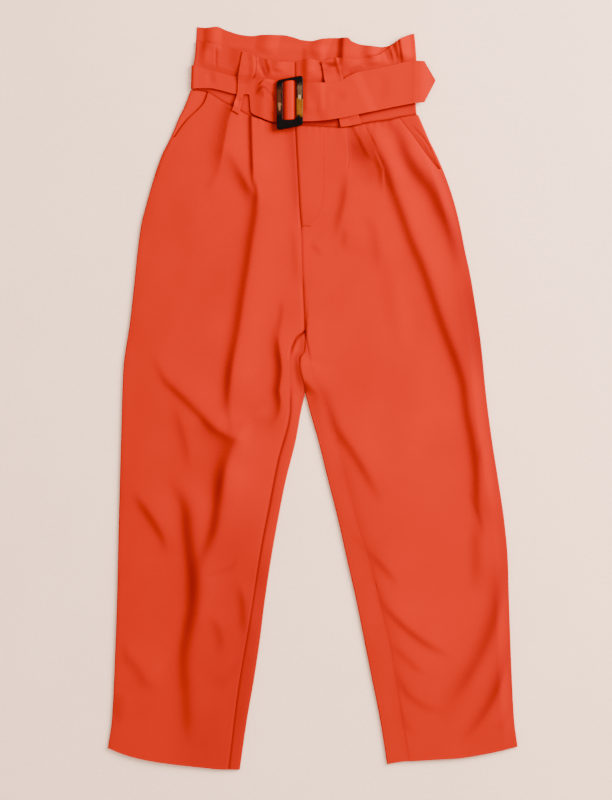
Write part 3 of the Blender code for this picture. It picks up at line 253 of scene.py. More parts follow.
POCKET_MOUTH = {
    RIGHT: ((414, -141), (400, -146), (389, -155), (379, -166), (368, -175.5), (352, -186.5)),
    LEFT: ((379, 116), (368, 123.5), (359, 130.5), (346, 140), (334, 148.4), (322, 157.8), (309, 169)),
}
WAIST_SEAM = (
    (-166, 416), (-146, 414.5), (-123, 401.6), (-107, 392.6), (-84, 380.6), (-72, 376.6), (-52, 370.2),
    (-11, 368), (14, 366.8), (36, 365.7), (64, 369.9), (82, 373), (101, 375.4), (117, 379.2), (142, 383),
)
BACK_WAIST_SEAM = (
    (-166, 416.2), (-146, 415.2), (-120, 410), (-90, 407), (0, 400), (70, 393), (142, 384.5),
)
HEM = {
    RIGHT: (
        (-277, -471), (-263, -477), (-247, -482.5), (-223, -488), (-198, -492), (-174, -495),
        (-150, -497.5), (-125, -500), (-98, -500.5),
    ),
    LEFT: (
        (99, -493.5), (123, -489.5), (147, -488), (171, -486.5), (196, -485), (228, -480), (261, -473),
        (276, -469),
    ),
}
BAND_EDGE = {
    RIGHT: ((416, -162.6), (448, -161.5), (461, -159.3), (481, -158), (501, -156.6)),
    LEFT: ((383, 140), (398, 138.5), (450, 139.6), (461, 139.3), (480, 138), (492, 136.8)),
}
FRONT_FRILL_TOP = (
    (-157, 482), (-123, 475), (-96, 468), (-75, 460), (-53, 455), (-43, 453.5), (-24, 454), (-3, 457),
    (10, 454), (32, 459), (53, 457), (84, 461), (99, 470), (112, 481.3), (124, 488), (135, 492),
    (139, 492.7),
)
BACK_FRILL_TOP = (
    (-157, 501.5), (-143, 500.2), (-130, 501.5), (-116, 496.5), (-96, 490.7), (-82, 489.4),
    (-69, 490.7), (-42, 490.7), (-28, 488), (-15, 484), (-1, 482.6), (12, 485.3), (26, 486.7),
    (46, 486.7), (53, 481.3), (66, 477.2), (93, 474.5), (100, 475.5), (115, 482), (139, 488),
)
BELT_LOW = (
    (-165, 415.8), (-155, 418), (-139, 418), (-125, 415.3), (-103, 410), (-94, 409.5), (-88, 410),
    (-85.6, 408), (-84.4, 388), (-82.5, 384.4), (-72, 379), (-52, 372.6), (-46, 373), (-40, 373.9),
    (-24, 375.2), (-18, 374.4), (-12, 373.2), (13, 374.2), (36, 377.3), (51, 380.3), (84, 387.4),
    (119, 394.5), (139, 397.8), (150, 398.5),
)
BELT_HIGH = (
    (-165, 450.5), (-140, 443.5), (-103, 434), (-77, 431), (-60, 430), (-52, 428.5), (-46, 427.4),
    (-40, 426.8), (-24, 427.9), (-12, 426), (13, 425), (37, 427), (46, 433), (63, 439.8), (82, 443.5),
    (107, 449), (121, 452.3), (139, 454.8), (150, 454.3),
)
# Painted shadow under the belt's lower edge: how dark it is and how far it reaches, by x
BELT_SHADE = (
    (-165, 1.5), (-110, 1.5), (-84, 0.5), (-50, 0.5), (-20, 1.5), (34, 1.5), (64, 1.3), (125, 1.2),
    (140, 0.8),
)
BELT_SHADE_REACH = ((-165, 3.5), (-90, 3), (-40, 3), (-16, 6), (28, 6), (60, 3), (140, 3))
# Along the waist seam, by x: how deep the cloth dips, and how dark its painted shade is
WAIST_SEAM_SHADE = (
    (-165, 0.8), (-80, 0.8), (-40, 0.6), (-10, 1.2), (30, 1.2), (70, 1.6), (112, 1.6), (142, 1),
)
BELT_BACK_LOW = (
    (-165, 417.5), (-154, 418), (-140, 417.5), (-120, 414), (-90, 410.5), (-60, 408), (0, 403), (60, 399.5),
    (142, 399),
)
BELT_BACK_HIGH = ((-165, 450.5), (-120, 462), (-60, 463), (0, 459), (60, 456), (142, 453))
BELT_RISE = (
    (-165, 1.7), (-92, 1.7), (-80, 2.4), (-66, 4.6), (-56, 4.6), (-50, 3.8), (-43, 3.9), (-41, 4.6),
    (-39, 6.6), (-36, 8.6), (-33, 9.3), (-30.5, 9.3), (-27.5, 8.5), (-25, 6.6), (-23, 4.6), (-21, 3.9),
    (-12, 3.8), (8, 3.8), (150, 3.8),
)
FIXED_RISE = ((-28, 3.9), (-25, 2.9), (-22, 2.2), (-17, 1.9), (140, 1.9))
LoopRow = namedtuple("LoopRow", "y x_from x_to on_belt")
LOOP_ROWS = {
    RIGHT: (
        LoopRow(463, -95, -79, 0), LoopRow(450, -98, -77, 0), LoopRow(440, -100, -78, 0),
        LoopRow(435, -101, -80, 1), LoopRow(424, -101.5, -85, 1), LoopRow(414, -102, -92, 1),
        LoopRow(405, -104, -94.5, 1), LoopRow(400, -105.5, -96, 0), LoopRow(394, -107, -97.5, 0),
        LoopRow(386, -109.5, -99.5, 0),
    ),
    LEFT: (
        LoopRow(458, 11, 33, 0), LoopRow(444, 13, 36, 0), LoopRow(436, 14, 39, 0),
        LoopRow(430, 15, 41, 1), LoopRow(414, 20, 48, 1), LoopRow(396, 28, 56, 1),
        LoopRow(380, 34, 62, 1), LoopRow(375.5, 35, 63, 0), LoopRow(371, 36, 64, 0),
        LoopRow(366, 37, 64.5, 0),
    ),
}

FLY_STITCHING = ((14.5, 364), (14.8, 330), (15, 300), (14, 272), (8, 250), (-2, 238), (-13, 233.5))
BAR_TACK = ((-13.5, 232), (-7, 232), (-1, 232))
BAR_TACK_SHIFTS = (0, 0.5, 1.0)

# ---------------------------------------------------------------- key rows of the panels
PanelRow = namedtuple("PanelRow", "inner outer waist hem")
FRONT_ROWS = {
    RIGHT: (
        PanelRow(368, 413, 1, 0), PanelRow(352, 382, 0.6, 0), PanelRow(337, 352, 0.3, 0),
        PanelRow(331, 344, 0.2, 0), PanelRow(312, 320, 0.1, 0), PanelRow(290, 295, 0, 0),
        PanelRow(264, 264, 0, 0), PanelRow(90, 90, 0, 0), PanelRow(6, 6, 0, 0), PanelRow(-420, -420, 0, 0),
        PanelRow(-446, -430, 0, 0.2), PanelRow(-474, -452, 0, 0.5), PanelRow(-500, -471, 0, 1),
    ),
    LEFT: (
        PanelRow(368, 379, 1, 0), PanelRow(352, 357, 0.6, 0), PanelRow(334, 332, 0.3, 0),
        PanelRow(314, 309, 0.1, 0), PanelRow(306, 300, 0, 0), PanelRow(288, 284, 0, 0),
        PanelRow(264, 264, 0, 0), PanelRow(90, 90, 0, 0), PanelRow(6, 6, 0, 0), PanelRow(-420, -420, 0, 0),
        PanelRow(-443, -430, 0, 0.2), PanelRow(-468, -450, 0, 0.5), PanelRow(-493, -469, 0, 1),
    ),
}
BACK_TOP_ROWS = {
    RIGHT: (PanelRow(400, 416, 1, 0), PanelRow(352, 363, 0.1, 0), PanelRow(293, 295, 0, 0)),
    LEFT: (PanelRow(400, 384, 1, 0), PanelRow(338, 332, 0.1, 0), PanelRow(286, 284, 0, 0)),
}
BACK_ROWS = {side: BACK_TOP_ROWS[side] + FRONT_ROWS[side][6:] for side in (RIGHT, LEFT)}

# ---------------------------------------------------------------- folds
# height: how deep a trough is, how high a ridge is, or how much higher the cloth lies past a drape
# low, high: half its width on the right-hand and on the left-hand side of its route
# start, end: 1 where the fold runs into a seam at its full height, 0 where it dies away
# A drape is a soft step in the cloth: it climbs on the right-hand side of its route to a crest on the left
# A shade lies where cloth is turned from the light: its height is how deep the colour gets, 0 to 1
Fold = namedtuple("Fold", "name shape height low high start end route")
FOLDS = (
    # wearer's right front
    Fold("outer pleat", "drape", 4.6, 12, 1.4, 1, 0, (
        (-109, 392), (-115, 375), (-120, 348), (-126, 318), (-132, 300))),
    Fold("outer pleat tail", "drape", 1.1, 7, 3, 0, 0, (
        (-124, 325), (-131, 302), (-140, 287), (-152, 280))),
    Fold("inner pleat", "drape", 3.8, 3.4, 0.8, 1, 0, ((-84, 382), (-83, 349), (-80.5, 276))),
    Fold("long thigh fold", "drape", 5.4, 8, 4, 0, 0, (
        (-121, 344), (-111, 324), (-102, 307), (-93, 291), (-84, 278), (-78.5, 264), (-79, 246), (-84, 215),
        (-89, 179), (-96, 137), (-102, 95), (-112, 40), (-115, -5), (-110, -39))),
    Fold("long thigh fold end", "shade", 0.5, 6, 3, 0, 0.5, (
        (-107, 78), (-112, 46), (-116, 4), (-115, -16), (-110, -38))),
    Fold("pleat wedge", "trough", 1.6, 6, 4, 0, 0, ((-86, 300), (-80, 282), (-78, 258))),
    Fold("centre drag", "drape", 1.2, 6, 4, 0, 0, ((-30, 244), (-25, 200), (-24, 170), (-28, 144))),
    Fold("knee diagonal", "drape", 3.4, 5, 4.5, 0, 0, (
        (-222, 66), (-202, 27), (-189, 13), (-171, -4), (-155, -20), (-138, -38), (-122, -49), (-106, -57),
        (-84, -64))),
    Fold("knee hollow", "drape", 4.4, 15, 3.5, 0, 0, (
        (-156, -20), (-138, -39), (-121, -50), (-100, -59), (-86, -64))),
    Fold("knee nose", "drape", 6.4, 14, 5, 0, 0, (
        (-90, -22), (-106, -54), (-119, -86), (-126, -122), (-130, -150))),
    Fold("knee nose fall", "drape", 7.2, 7, 7, 0, 0, (
        (-116, -64), (-123, -92), (-128, -130), (-134, -173), (-146, -207), (-158, -240))),
    Fold("shin bridge", "trough", 0.9, 4, 4, 0, 0, (
        (-150, -242), (-130, -237), (-112, -228), (-101, -212))),
    Fold("shin hollow", "trough", 1.0, 26, 26, 0, 0, ((-176, -280), (-186, -350), (-184, -440))),
    Fold("knee ridge", "ridge", 1.6, 7, 7, 0, 0, ((-108, -40), (-89, -30), (-58, -14))),
    Fold("fork crease", "drape", 4.4, 6, 1.2, 0.6, 0.3, (
        (-10.5, 80), (-12.2, 63), (-18.2, 55), (-18.6, 42), (-16, 29), (-11, 11), (-11, -8))),
    Fold("crotch pull", "trough", 2.2, 2.4, 1.6, 0, 1, ((-33, 52), (-29, 70), (-22, 82), (-11, 90.5))),
    Fold("crotch drag", "drape", 5.8, 7, 1.8, 0, 0, (
        (-44, 116), (-46.4, 98), (-47.8, 84), (-47, 68), (-44.8, 52), (-44, 38), (-45.6, 22), (-47, 10),
        (-45.2, -4), (-47, -20), (-55, -34), (-66, -46))),
    Fold("crotch drag top", "shade", 0.6, 5, 2.4, 0, 0, ((-42, 138), (-42, 120), (-43.5, 104), (-46, 84))),
    Fold("long shin fold", "drape", 6.0, 7, 9, 0, 0, (
        (-201, -100), (-183, -126), (-173, -148), (-170, -178), (-167, -206), (-163, -240), (-164, -280),
        (-169, -310), (-175, -346), (-174, -376), (-172, -400))),
    Fold("shin fold shade", "shade", 0.42, 10, 13, 0, 0, (
        (-184, -112), (-174, -146), (-170, -180), (-165, -214), (-160, -250), (-162, -284))),
    Fold("shin core", "drape", 3.8, 10, 11, 0, 0, (
        (-168, -196), (-161, -238), (-161, -276), (-168, -310), (-174, -340))),
    Fold("low shin fold", "drape", 3.4, 8, 8, 0, 0, (
        (-176, -336), (-174, -372), (-171, -410), (-170, -444), (-169, -474))),
    Fold("outer shin fold", "drape", 3.8, 6, 5, 0, 0, (
        (-248, -118), (-234, -140), (-216, -166), (-203, -190), (-199, -216))),
    Fold("ankle sweep", "drape", 2.0, 9, 6, 0, 0, (
        (-261, -320), (-252, -346), (-238, -364), (-224, -384), (-198, -394))),
    Fold("outer hem dip", "drape", 1.6, 6, 4, 0, 0, ((-268, -390), (-265, -424), (-259, -442))),
    Fold("inner leg edge", "shade", 0.5, 14, 14, 0, 0.6, (
        (-58, -180), (-74, -270), (-84, -330), (-92, -395), (-106, -498))),
    Fold("inner shin slope", "shade", 0.4, 46, 38, 0, 0.7, (
        (-100, -112), (-108, -170), (-114, -230), (-120, -290), (-128, -360), (-138, -430), (-146, -496))),
    Fold("inner shin fold", "drape", 2.6, 7, 4, 0, 0, (
        (-103, -243), (-96, -270), (-94, -296), (-96, -324))),
    Fold("inner ankle sweep", "drape", 1.8, 8, 6, 0, 0, (
        (-133, -396), (-118, -380), (-104, -358), (-95, -332))),
    Fold("middle shin dip", "drape", 1.8, 7, 5, 0, 0, (
        (-148, -290), (-132, -304), (-125, -326), (-127, -352))),
    Fold("thigh dip", "drape", 2.2, 8, 5, 0, 0, (
        (-190, 0), (-182, -28), (-174, -56), (-169, -86), (-168, -106))),
    Fold("hip hollow", "trough", 0.8, 22, 22, 0, 0, ((-196, 290), (-186, 230), (-182, 170))),
    # wearer's left front
    Fold("left inner pleat", "drape", 1.5, 1.0, 1.2, 0, 1, (
        (45, 290), (48, 312), (49, 325), (47.4, 349), (46.6, 369))),
    Fold("left inner pleat side", "shade", 0.3, 0.9, 13, 0.6, 0, (
        (48, 366), (49, 346), (50, 325), (50, 304))),
    Fold("left inner pleat fall", "drape", 2.8, 6, 4, 0, 0, ((45, 312), (42, 278), (37, 252), (27, 212))),
    Fold("left pleat ramp", "drape", 8.0, 30, 4, 0.1, 0, (
        (80, 378), (80, 352), (87, 332), (95, 304), (98, 276))),
    Fold("left pleat wedge", "shade", 0.62, 10, 10, 0.1, 0, (
        (51, 356), (57, 343), (63, 332), (71, 322), (80, 311))),
    Fold("left second pleat", "drape", 1.3, 2.8, 1.8, 0.8, 0, (
        (53, 370), (57, 358), (63, 347), (68, 336), (74, 326), (84, 316))),
    Fold("left third pleat", "ridge", 1.0, 5, 1.2, 0, 0, (
        (80, 340), (87.5, 322), (93.2, 309), (94.3, 295), (95, 274))),
    Fold("left third pleat valley", "shade", 0.75, 3.0, 5.0, 0, 0, (
        (85, 338), (91, 325), (97.5, 309), (101, 296), (105, 284), (111, 270))),
    Fold("left long thigh fold", "drape", 5.6, 7, 6, 0.15, 0, (
        (86, 338), (92, 326), (98.5, 309), (102, 296), (105.5, 283), (110.5, 270), (115.5, 257), (123, 236),
        (130.5, 215), (138, 197), (146.5, 178), (157, 148), (175, 95), (192, 51), (202, 18), (206, -16),
        (214, -56), (219, -96), (220, -134), (224, -162), (229, -190))),
    Fold("left thigh fold tip", "shade", 0.4, 3, 3, 0.5, 0.2, (
        (212, -128), (219, -146), (225.5, -166), (229.5, -189))),
    Fold("left knee fall", "drape", 3.0, 8, 8, 0, 0, (
        (221, -150), (219, -190), (219.5, -215), (218, -240), (214, -266))),
    Fold("left hip fold", "drape", 8.0, 9, 9, 0.35, 0, (
        (98, 374), (111, 361), (119.5, 345), (125, 329), (134, 312), (146, 296), (156, 284), (164, 270),
        (171, 254), (179, 239), (193, 203), (206, 150))),
    Fold("left hip fold top", "shade", 0.34, 8, 7, 0.3, 0, (
        (102, 369), (112, 357), (119, 343), (124, 328), (133, 311), (144, 296), (156, 281))),
    Fold("left hip slope", "shade", 0.5, 38, 24, 0.3, 0, (
        (140, 350), (164, 316), (184, 276), (198, 233), (208, 190), (217, 136), (227, 71), (234, 6))),
    Fold("left side slope", "shade", 0.46, 36, 20, 0, 0.8, (
        (205, 190), (218, 120), (233, 20), (246, -80), (258, -164), (264, -240), (266, -330), (270, -410),
        (275, -468))),
    Fold("left inseam turn", "shade", 0.5, 5, 9, 0.3, 0.3, (
        (3, 24), (14.2, 5), (21, -14), (27.9, -34), (33, -56))),
    Fold("left inseam slope", "shade", 0.3, 3, 11, 0.5, 0.5, (
        (33, -56), (35.9, -72), (50, -129), (61.7, -174), (79.7, -230), (89.1, -272), (104, -333),
        (113.4, -388))),
    Fold("fly slope", "shade", 0.8, 10, 0.6, 1, 0, (
        (-24, 372), (-23.5, 354), (-20, 290), (-17.4, 244), (-16, 222))),
    Fold("left thigh dip", "drape", 1.7, 9, 6, 0, 0, ((58, 250), (78, 234), (84, 209), (88, 160))),
    Fold("left middle ridge", "ridge", 0.8, 14, 14, 0, 0, ((100, 214), (112, 133), (123, 51))),
    Fold("left fly dip 1", "drape", 0.9, 4, 3, 0, 0, ((-6, 212), (4, 202), (14, 190))),
    Fold("left fly dip 2", "drape", 1.0, 5, 3, 0, 0, ((44, 234), (43, 216), (41, 198))),
    Fold("left knee outer dip", "drape", 1.0, 5, 4, 0, 0, ((236, -44), (227, -66), (222, -94))),
    Fold("left shin fold", "drape", 6.5, 11, 8, 0, 0, (
        (258, -206), (255, -236), (250.5, -268), (244, -296), (234, -324), (222, -350), (205, -380),
        (186, -405), (162, -421))),
    Fold("left ankle sweep", "drape", 5.4, 9, 5, 0, 0, (
        (262, -322), (258, -352), (249, -386), (234, -418), (208, -452), (188, -468))),
    Fold("left hem dip", "drape", 1.4, 6, 4, 0, 0, ((264, -412), (259, -432), (250, -450))),
    Fold("left knee crease", "drape", 3.2, 6, 5, 0, 0, (
        (15, 2), (22, -16), (29, -35), (39, -53), (51, -70), (65, -92), (81, -121), (97, -149))),
    Fold("left calf crease", "drape", 1.8, 5, 4, 0.3, 0, ((72, -204), (84, -216), (98, -232), (116, -254))),
    Fold("left shin crease", "drape", 2.3, 4.5, 4, 0.3, 0, (
        (88, -260), (95, -278), (108, -294), (126, -311), (148, -328), (173, -342), (196, -351))),
    Fold("left shin crease 2", "drape", 1.2, 5, 4, 0, 0, (
        (98, -324), (116, -342), (140, -364), (160, -376))),
    Fold("left low crease", "drape", 1.4, 5, 4, 0, 0, (
        (110, -352), (116, -376), (126, -396), (142, -410), (162, -418), (190, -420))),
    Fold("left low crease 2", "drape", 0.9, 5, 4, 0, 0, ((116, -406), (123, -436), (141, -456))),
)
POCKET_FOLDS = (
    Fold("pocket crease", "trough", 0.7, 1.6, 1.6, 0, 0, (
        (130, 372), (136, 364.5), (144.5, 355.5), (151.5, 347), (159, 334), (165, 321))),
)
BAND_FOLDS = (
    Fold("right side crease", "trough", 0.7, 2.2, 1.4, 0.3, 1, ((-131, 444), (-131.5, 456), (-131, 470))),
    Fold("corner ridge", "ridge", 1.2, 10, 10, 0, 1, ((-147, 452), (-148, 470), (-146, 484))),
    Fold("right frill ridge", "ridge", 1.8, 12, 12, 0, 1, ((-100, 440), (-98, 456), (-96, 475))),
    Fold("right loop fold", "drape", 2.6, 1.0, 1.0, 0.6, 1, (
        (-85, 424), (-78, 435), (-76, 449), (-77, 464))),
    Fold("right cavity", "trough", 4.2, 5, 5, 0, 1, ((-62, 430), (-66, 443), (-69, 452), (-70, 464))),
    Fold("right cavity edge", "trough", 2.6, 1.8, 2.2, 0, 0, ((-62, 431), (-66, 441), (-70, 450))),
    Fold("middle ridge", "ridge", 2.6, 11, 11, 0, 1, ((-49, 438), (-47, 448), (-45, 458))),
    Fold("centre ridge", "ridge", 2.4, 10, 10, 0, 1, ((-6, 432), (-6, 446), (-5, 460))),
    Fold("left loop hollow", "trough", 2.6, 2.4, 3.6, 0.3, 0.3, ((13, 448.5), (22, 448), (32, 448.5))),
    Fold("left frill ridge", "ridge", 2.6, 6, 6, 0, 1, ((34, 436), (31, 446), (28, 462))),
    Fold("left frill smudge", "trough", 2.6, 5, 5, 0, 0, ((44, 434), (56, 441), (68, 446))),
    Fold("side ridge", "ridge", 3.0, 12, 12, 0, 1, ((84, 446), (82, 456), (80, 468))),
    Fold("corner streak 1", "trough", 3.2, 4.0, 4.6, 0.2, 1, ((107, 451), (102, 462), (96, 474))),
    Fold("corner streak 2", "trough", 2.2, 2.6, 2.8, 0.4, 1, ((113.5, 452), (111, 466), (107, 482))),
    Fold("flap", "drape", 3.0, 1.2, 1.2, 1, 1, ((114, 492), (116.5, 478), (118.5, 464), (120.5, 450))),
)
BACK_FRILL_FOLDS = (
    Fold("back ridge 1", "ridge", 3.4, 12, 12, 0, 1, ((-136, 462), (-136, 484), (-136, 506))),
    Fold("back ridge 2", "ridge", 2.6, 14, 14, 0, 1, ((-66, 462), (-62, 478), (-58, 496))),
    Fold("back ridge 3", "ridge", 3.0, 12, 12, 0, 1, ((0, 458), (8, 474), (14, 490))),
    Fold("back tuck", "drape", 5.0, 5, 2, 1, 0, ((40, 494), (39, 474), (38, 454), (37.5, 432))),
    Fold("back ridge 4", "ridge", 3.2, 10, 10, 0, 1, ((76, 456), (78, 468), (80, 480))),
    Fold("back ridge 5", "ridge", 3.0, 9, 9, 0, 1, ((114, 458), (114, 474), (114, 492))),
)
LOOP_FOLDS = (
    Fold("left loop hollow", "trough", 3.0, 2.6, 3.6, 0.3, 0.3, ((13, 448.5), (22, 448), (32, 448.5))),
    Fold("left loop edge ridge", "ridge", 1.6, 3, 3, 0.3, 1, ((39, 428), (37, 438), (33, 450), (31, 460))),
    Fold("right loop edge ridge", "ridge", 1.2, 5, 5, 0.3, 1, (
        (-84, 426), (-80, 438), (-80, 450), (-81, 462))),
)
BELT_FOLDS = (
    Fold("hook crease", "drape", 2.6, 2.4, 1.4, 0, 0, (
        (-56, 404), (-58.5, 411.5), (-62, 417), (-67, 419.6), (-71.5, 417), (-75, 412), (-78, 407))),
    Fold("hook shade", "shade", 0.9, 1.2, 2.4, 0, 0.2, (
        (-57, 406), (-59.5, 412), (-63, 417.6), (-67.5, 420), (-71.5, 417.4), (-75, 412.6))),
    Fold("hook ridge", "ridge", 1.6, 3.5, 3.5, 0, 0, ((-78, 416), (-70, 424), (-60, 427), (-52, 424))),
    Fold("hook small crease", "trough", 1.5, 1.5, 1.5, 0, 0, ((-76, 420), (-70, 427), (-66, 429))),
    Fold("belt smudge 1", "trough", 1.4, 4, 4, 0, 0, ((-58, 414), (-52, 406), (-50, 398))),
    Fold("belt smudge 2", "trough", 0.8, 4, 4, 0, 0, ((-58, 388), (-54, 382), (-50, 379))),
    Fold("belt dip 1", "trough", 0.6, 9, 9, 0, 0, ((4, 380), (8, 400), (4, 424))),
    Fold("belt dip 2", "trough", 0.7, 7, 7, 0, 0, ((22, 402), (34, 406), (46, 404))),
    Fold("belt dip 3", "trough", 0.5, 10, 10, 0, 0, ((84, 396), (92, 420), (88, 442))),
    Fold("belt side wave", "trough", 0.7, 6, 6, 0, 0, ((-140, 420), (-138, 432), (-142, 443))),
)
BACK_FOLDS = (
    Fold("seat crease 1", "ridge", 1.1, 8, 8, 0, 0, ((-40, 60), (-90, 30), (-150, 20))),
    Fold("seat crease 2", "ridge", 1.0, 7, 7, 0, 0, ((30, 40), (90, 10), (150, 14))),
    Fold("back knee crease 1", "ridge", 1.2, 8, 8, 0, 0, ((-70, -120), (-130, -150), (-200, -140))),
    Fold("back knee crease 2", "ridge", 0.9, 7, 7, 0, 0, ((-90, -190), (-150, -205), (-220, -180))),
    Fold("back knee crease 3", "ridge", 1.2, 8, 8, 0, 0, ((70, -130), (130, -165), (210, -150))),
    Fold("back knee crease 4", "ridge", 0.9, 7, 7, 0, 0, ((80, -210), (150, -230), (220, -210))),
    Fold("back shin crease 1", "ridge", 1.0, 9, 9, 0, 0, ((-180, -260), (-170, -340), (-176, -420))),
    Fold("back shin crease 2", "ridge", 1.0, 9, 9, 0, 0, ((190, -260), (176, -340), (180, -430))),
)


# ================================================================ curves
def smooth_value(table, at):
    """Value at a position of a table of (position, value) pairs, on a curve that doesn't overshoot."""
    rows = sorted(table)
    position = np.array([row[0] for row in rows], float)
    value = np.array([row[1] for row in rows], float)
    step = np.diff(position)
    slope = np.diff(value) / step
    tangent = np.zeros(len(rows))
    tangent[0] = slope[0]
    tangent[-1] = slope[-1]
    for k in range(1, len(rows) - 1):
        if slope[k - 1] * slope[k] > 0:
            tangent[k] = 2 * slope[k - 1] * slope[k] / (slope[k - 1] + slope[k])
    inside = np.clip(at, position[0], position[-1])
    k = np.clip(np.searchsorted(position, inside) - 1, 0, len(rows) - 2)
    t = (inside - position[k]) / step[k]
    from_ends = value[k] * (1 + 2 * t) * (1 - t) ** 2 + value[k + 1] * t * t * (3 - 2 * t)
    from_slopes = step[k] * (tangent[k] * t * (1 - t) ** 2 - tangent[k + 1] * t * t * (1 - t))
    return from_ends + from_slopes


def fade(value, start, end):
    """0 at start, 1 at end, level at both."""
    t = np.clip((np.asarray(value, float) - start) / (end - start), 0, 1)
    return t * t * (3 - 2 * t)


def curve_through(points, per_span=5):
    """Points on a smooth curve through a fold's route."""
    route = [np.array(point, float) for point in points]
    route = [2 * route[0] - route[1]] + route + [2 * route[-1] - route[-2]]
    found = []
    for k in range(1, len(route) - 2):
        before, start, end, after = route[k - 1 : k + 3]
        for step in range(per_span):
            t = step / per_span
            found.append(
                0.5 * (2 * start + (end - before) * t
                       + (2 * before - 5 * start + 4 * end - after) * t * t
                       + (3 * start - before - 3 * end + after) * t ** 3)
            )
    found.append(route[-2])
    return np.array(found)


def along_route(points, x, y):
    """Distance of each (x, y) from a route, its side (+1 on the left hand), and how far both ends are."""
    route = curve_through(points)
    start = route[:-1]
    span = np.diff(route, axis=0)
    length = np.hypot(span[:, 0], span[:, 1])
    before = np.concatenate([[0], np.cumsum(length)[:-1]])
    away = np.full(x.shape, np.inf)
    side = np.zeros(x.shape)
    travelled = np.zeros(x.shape)
    for k in range(len(span)):
        dx = x - start[k, 0]
        dy = y - start[k, 1]
        t = np.clip((dx * span[k, 0] + dy * span[k, 1]) / length[k] ** 2, 0, 1)
        here = np.hypot(dx - t * span[k, 0], dy - t * span[k, 1])
        closer = here < away
        away = np.where(closer, here, away)
        side = np.where(closer, np.sign(span[k, 0] * dy - span[k, 1] * dx), side)
        travelled = np.where(closer, before[k] + t * length[k], travelled)
    return away, side, travelled, length.sum() - travelled


def along_fold(fold, x, y):
    """Points near a fold, their distance across it (+ on the left hand) and its strength there."""
    reach = 4 * max(fold.low, fold.high) + (60 if fold.shape == "drape" else 0)
    route = np.array(fold.route, float)
    low = route.min(axis=0) - reach
    high = route.max(axis=0) + reach
    near = (x > low[0]) & (x < high[0]) & (y > low[1]) & (y < high[1])
    away, side, from_start, from_end = along_route(fold.route, x[near], y[near])
    ends = np.minimum(END_FADE, 0.4 * (from_start + from_end))
    strength = (fold.start + (1 - fold.start) * fade(from_start / ends, 0, 1)) * (
        fold.end + (1 - fold.end) * fade(from_end / ends, 0, 1)
    )
    return near, away * side, strength


def fold_relief(fold, x, y):
    """How much one fold raises or lowers the cloth."""
    relief = np.zeros(x.shape)
    if fold.shape == "shade":
        return relief
    near, across, strength = along_fold(fold, x, y)
    if fold.shape == "drape":
        climb = np.where(
            across < 0,
            fold.low * (1 + np.tanh(np.minimum(across, 0) / fold.low)),
            fold.low + fold.high * np.tanh(np.maximum(across, 0) / fold.high),
        )
        profile = climb / (fold.low + fold.high) * np.exp(-(np.maximum(across, 0) / DRAPE_REACH) ** 2)
    else:
        ratio = across / np.where(across < 0, fold.low, fold.high)
        profile = (1 - 0.8 * ratio ** 2) * np.exp(-ratio ** 2 / 1.5)
        profile = -profile if fold.shape == "trough" else profile
    relief[near] = fold.height * strength * profile
    return relief


def fold_tone(folds, x, y):
    """How much each place lies in the shade of a fold, for the cloth's material: 0 to 1."""
    tone = np.zeros(x.shape)
    for fold in folds:
        if fold.shape != "ridge":
            near, across, strength = along_fold(fold, x, y)
            ratio = across / np.where(across < 0, fold.low, fold.high)
            deepest = TONE_OF_STEEPNESS * fold.height / (fold.low + fold.high)
            deepest = fold.height if fold.shape == "shade" else deepest
            tone[near] += deepest * strength * np.exp(-ratio ** 2)
    return np.clip(tone, 0, 1)


def painted_shade_by_distance(away, reach):
    """Painted shade by the distance from an edge or a seam: the shadow under the belt's edge, at the pocket
    mouth or in a seam.
    """
    return np.exp(-(away / reach) ** 2)


def all_relief(folds, x, y):
    """How much all the folds of a piece raise or lower it."""
    return sum(fold_relief(fold, x, y) for fold in folds)


def ripple(x, y):
    """The faint unevenness of pressed cloth, about a third of a millimetre."""
    return (
        0.16 * np.sin(x / 17 + 1.3 * np.sin(y / 41)) * np.sin(y / 29 + 0.8)
        + 0.12 * np.sin(x / 9.3 - y / 23 + 2.1 * np.sin(y / 67))
        + 0.10 * np.sin(y / 12.7 + x / 31 + 1.7 * np.sin(x / 53))
    )


def seam_dip(away, depth=1.0):
    """How cloth pulls down to the stitching, by the distance from the seam."""
    away = np.maximum(away, 0)
    pull = STITCH_PULL * np.exp(-(away / STITCH_PULL_REACH) ** 2)
    return -depth * (pull + SEAM_SLOPE * np.exp(-away / SEAM_SLOPE_REACH))


# ================================================================ heights of the layers
def cloth_base(x, y):
    """Height of the trousers' outer face that faces up, without folds, its least, and its inset."""
    from_side = np.minimum(x - smooth_value(SIDE_EDGE[RIGHT], y), smooth_value(SIDE_EDGE[LEFT], y) - x)
    right_inner = smooth_value(INNER_EDGE[RIGHT], y)
    left_inner = smooth_value(INNER_EDGE[LEFT], y)
    on_right_leg = x < (right_inner + left_inner) / 2
    from_inner = np.where(on_right_leg, right_inner - x, x - left_inner) + np.maximum(0, y - CROTCH_Y)
    inset = np.maximum(np.minimum(from_side, from_inner) - EDGE_RADIUS, 0)
    near_waist = fade(smooth_value(WAIST_SEAM, x) - y, 0, WAIST_LOFT_REACH)
    loft = LOFT * (WAIST_LOFT + (1 - WAIST_LOFT) * near_waist) * (1 - np.exp(-inset / LOFT_REACH))
    over_pocket = fade(y, *POCKET_RISE_Y) * (1 - fade(from_side, *POCKET_RISE_INSET))
    over_fly = fade(y, *FLY_RISE_Y) * (1 - fade(np.abs(x - FLY_RISE_X), *FLY_RISE_BESIDE))
    lowest = LOWEST_FRONT + (LOWEST_OVER_PIECE - LOWEST_FRONT) * np.maximum(over_pocket, over_fly)
    return EDGE_HEIGHT + loft, np.minimum(lowest, EDGE_HEIGHT + inset), inset


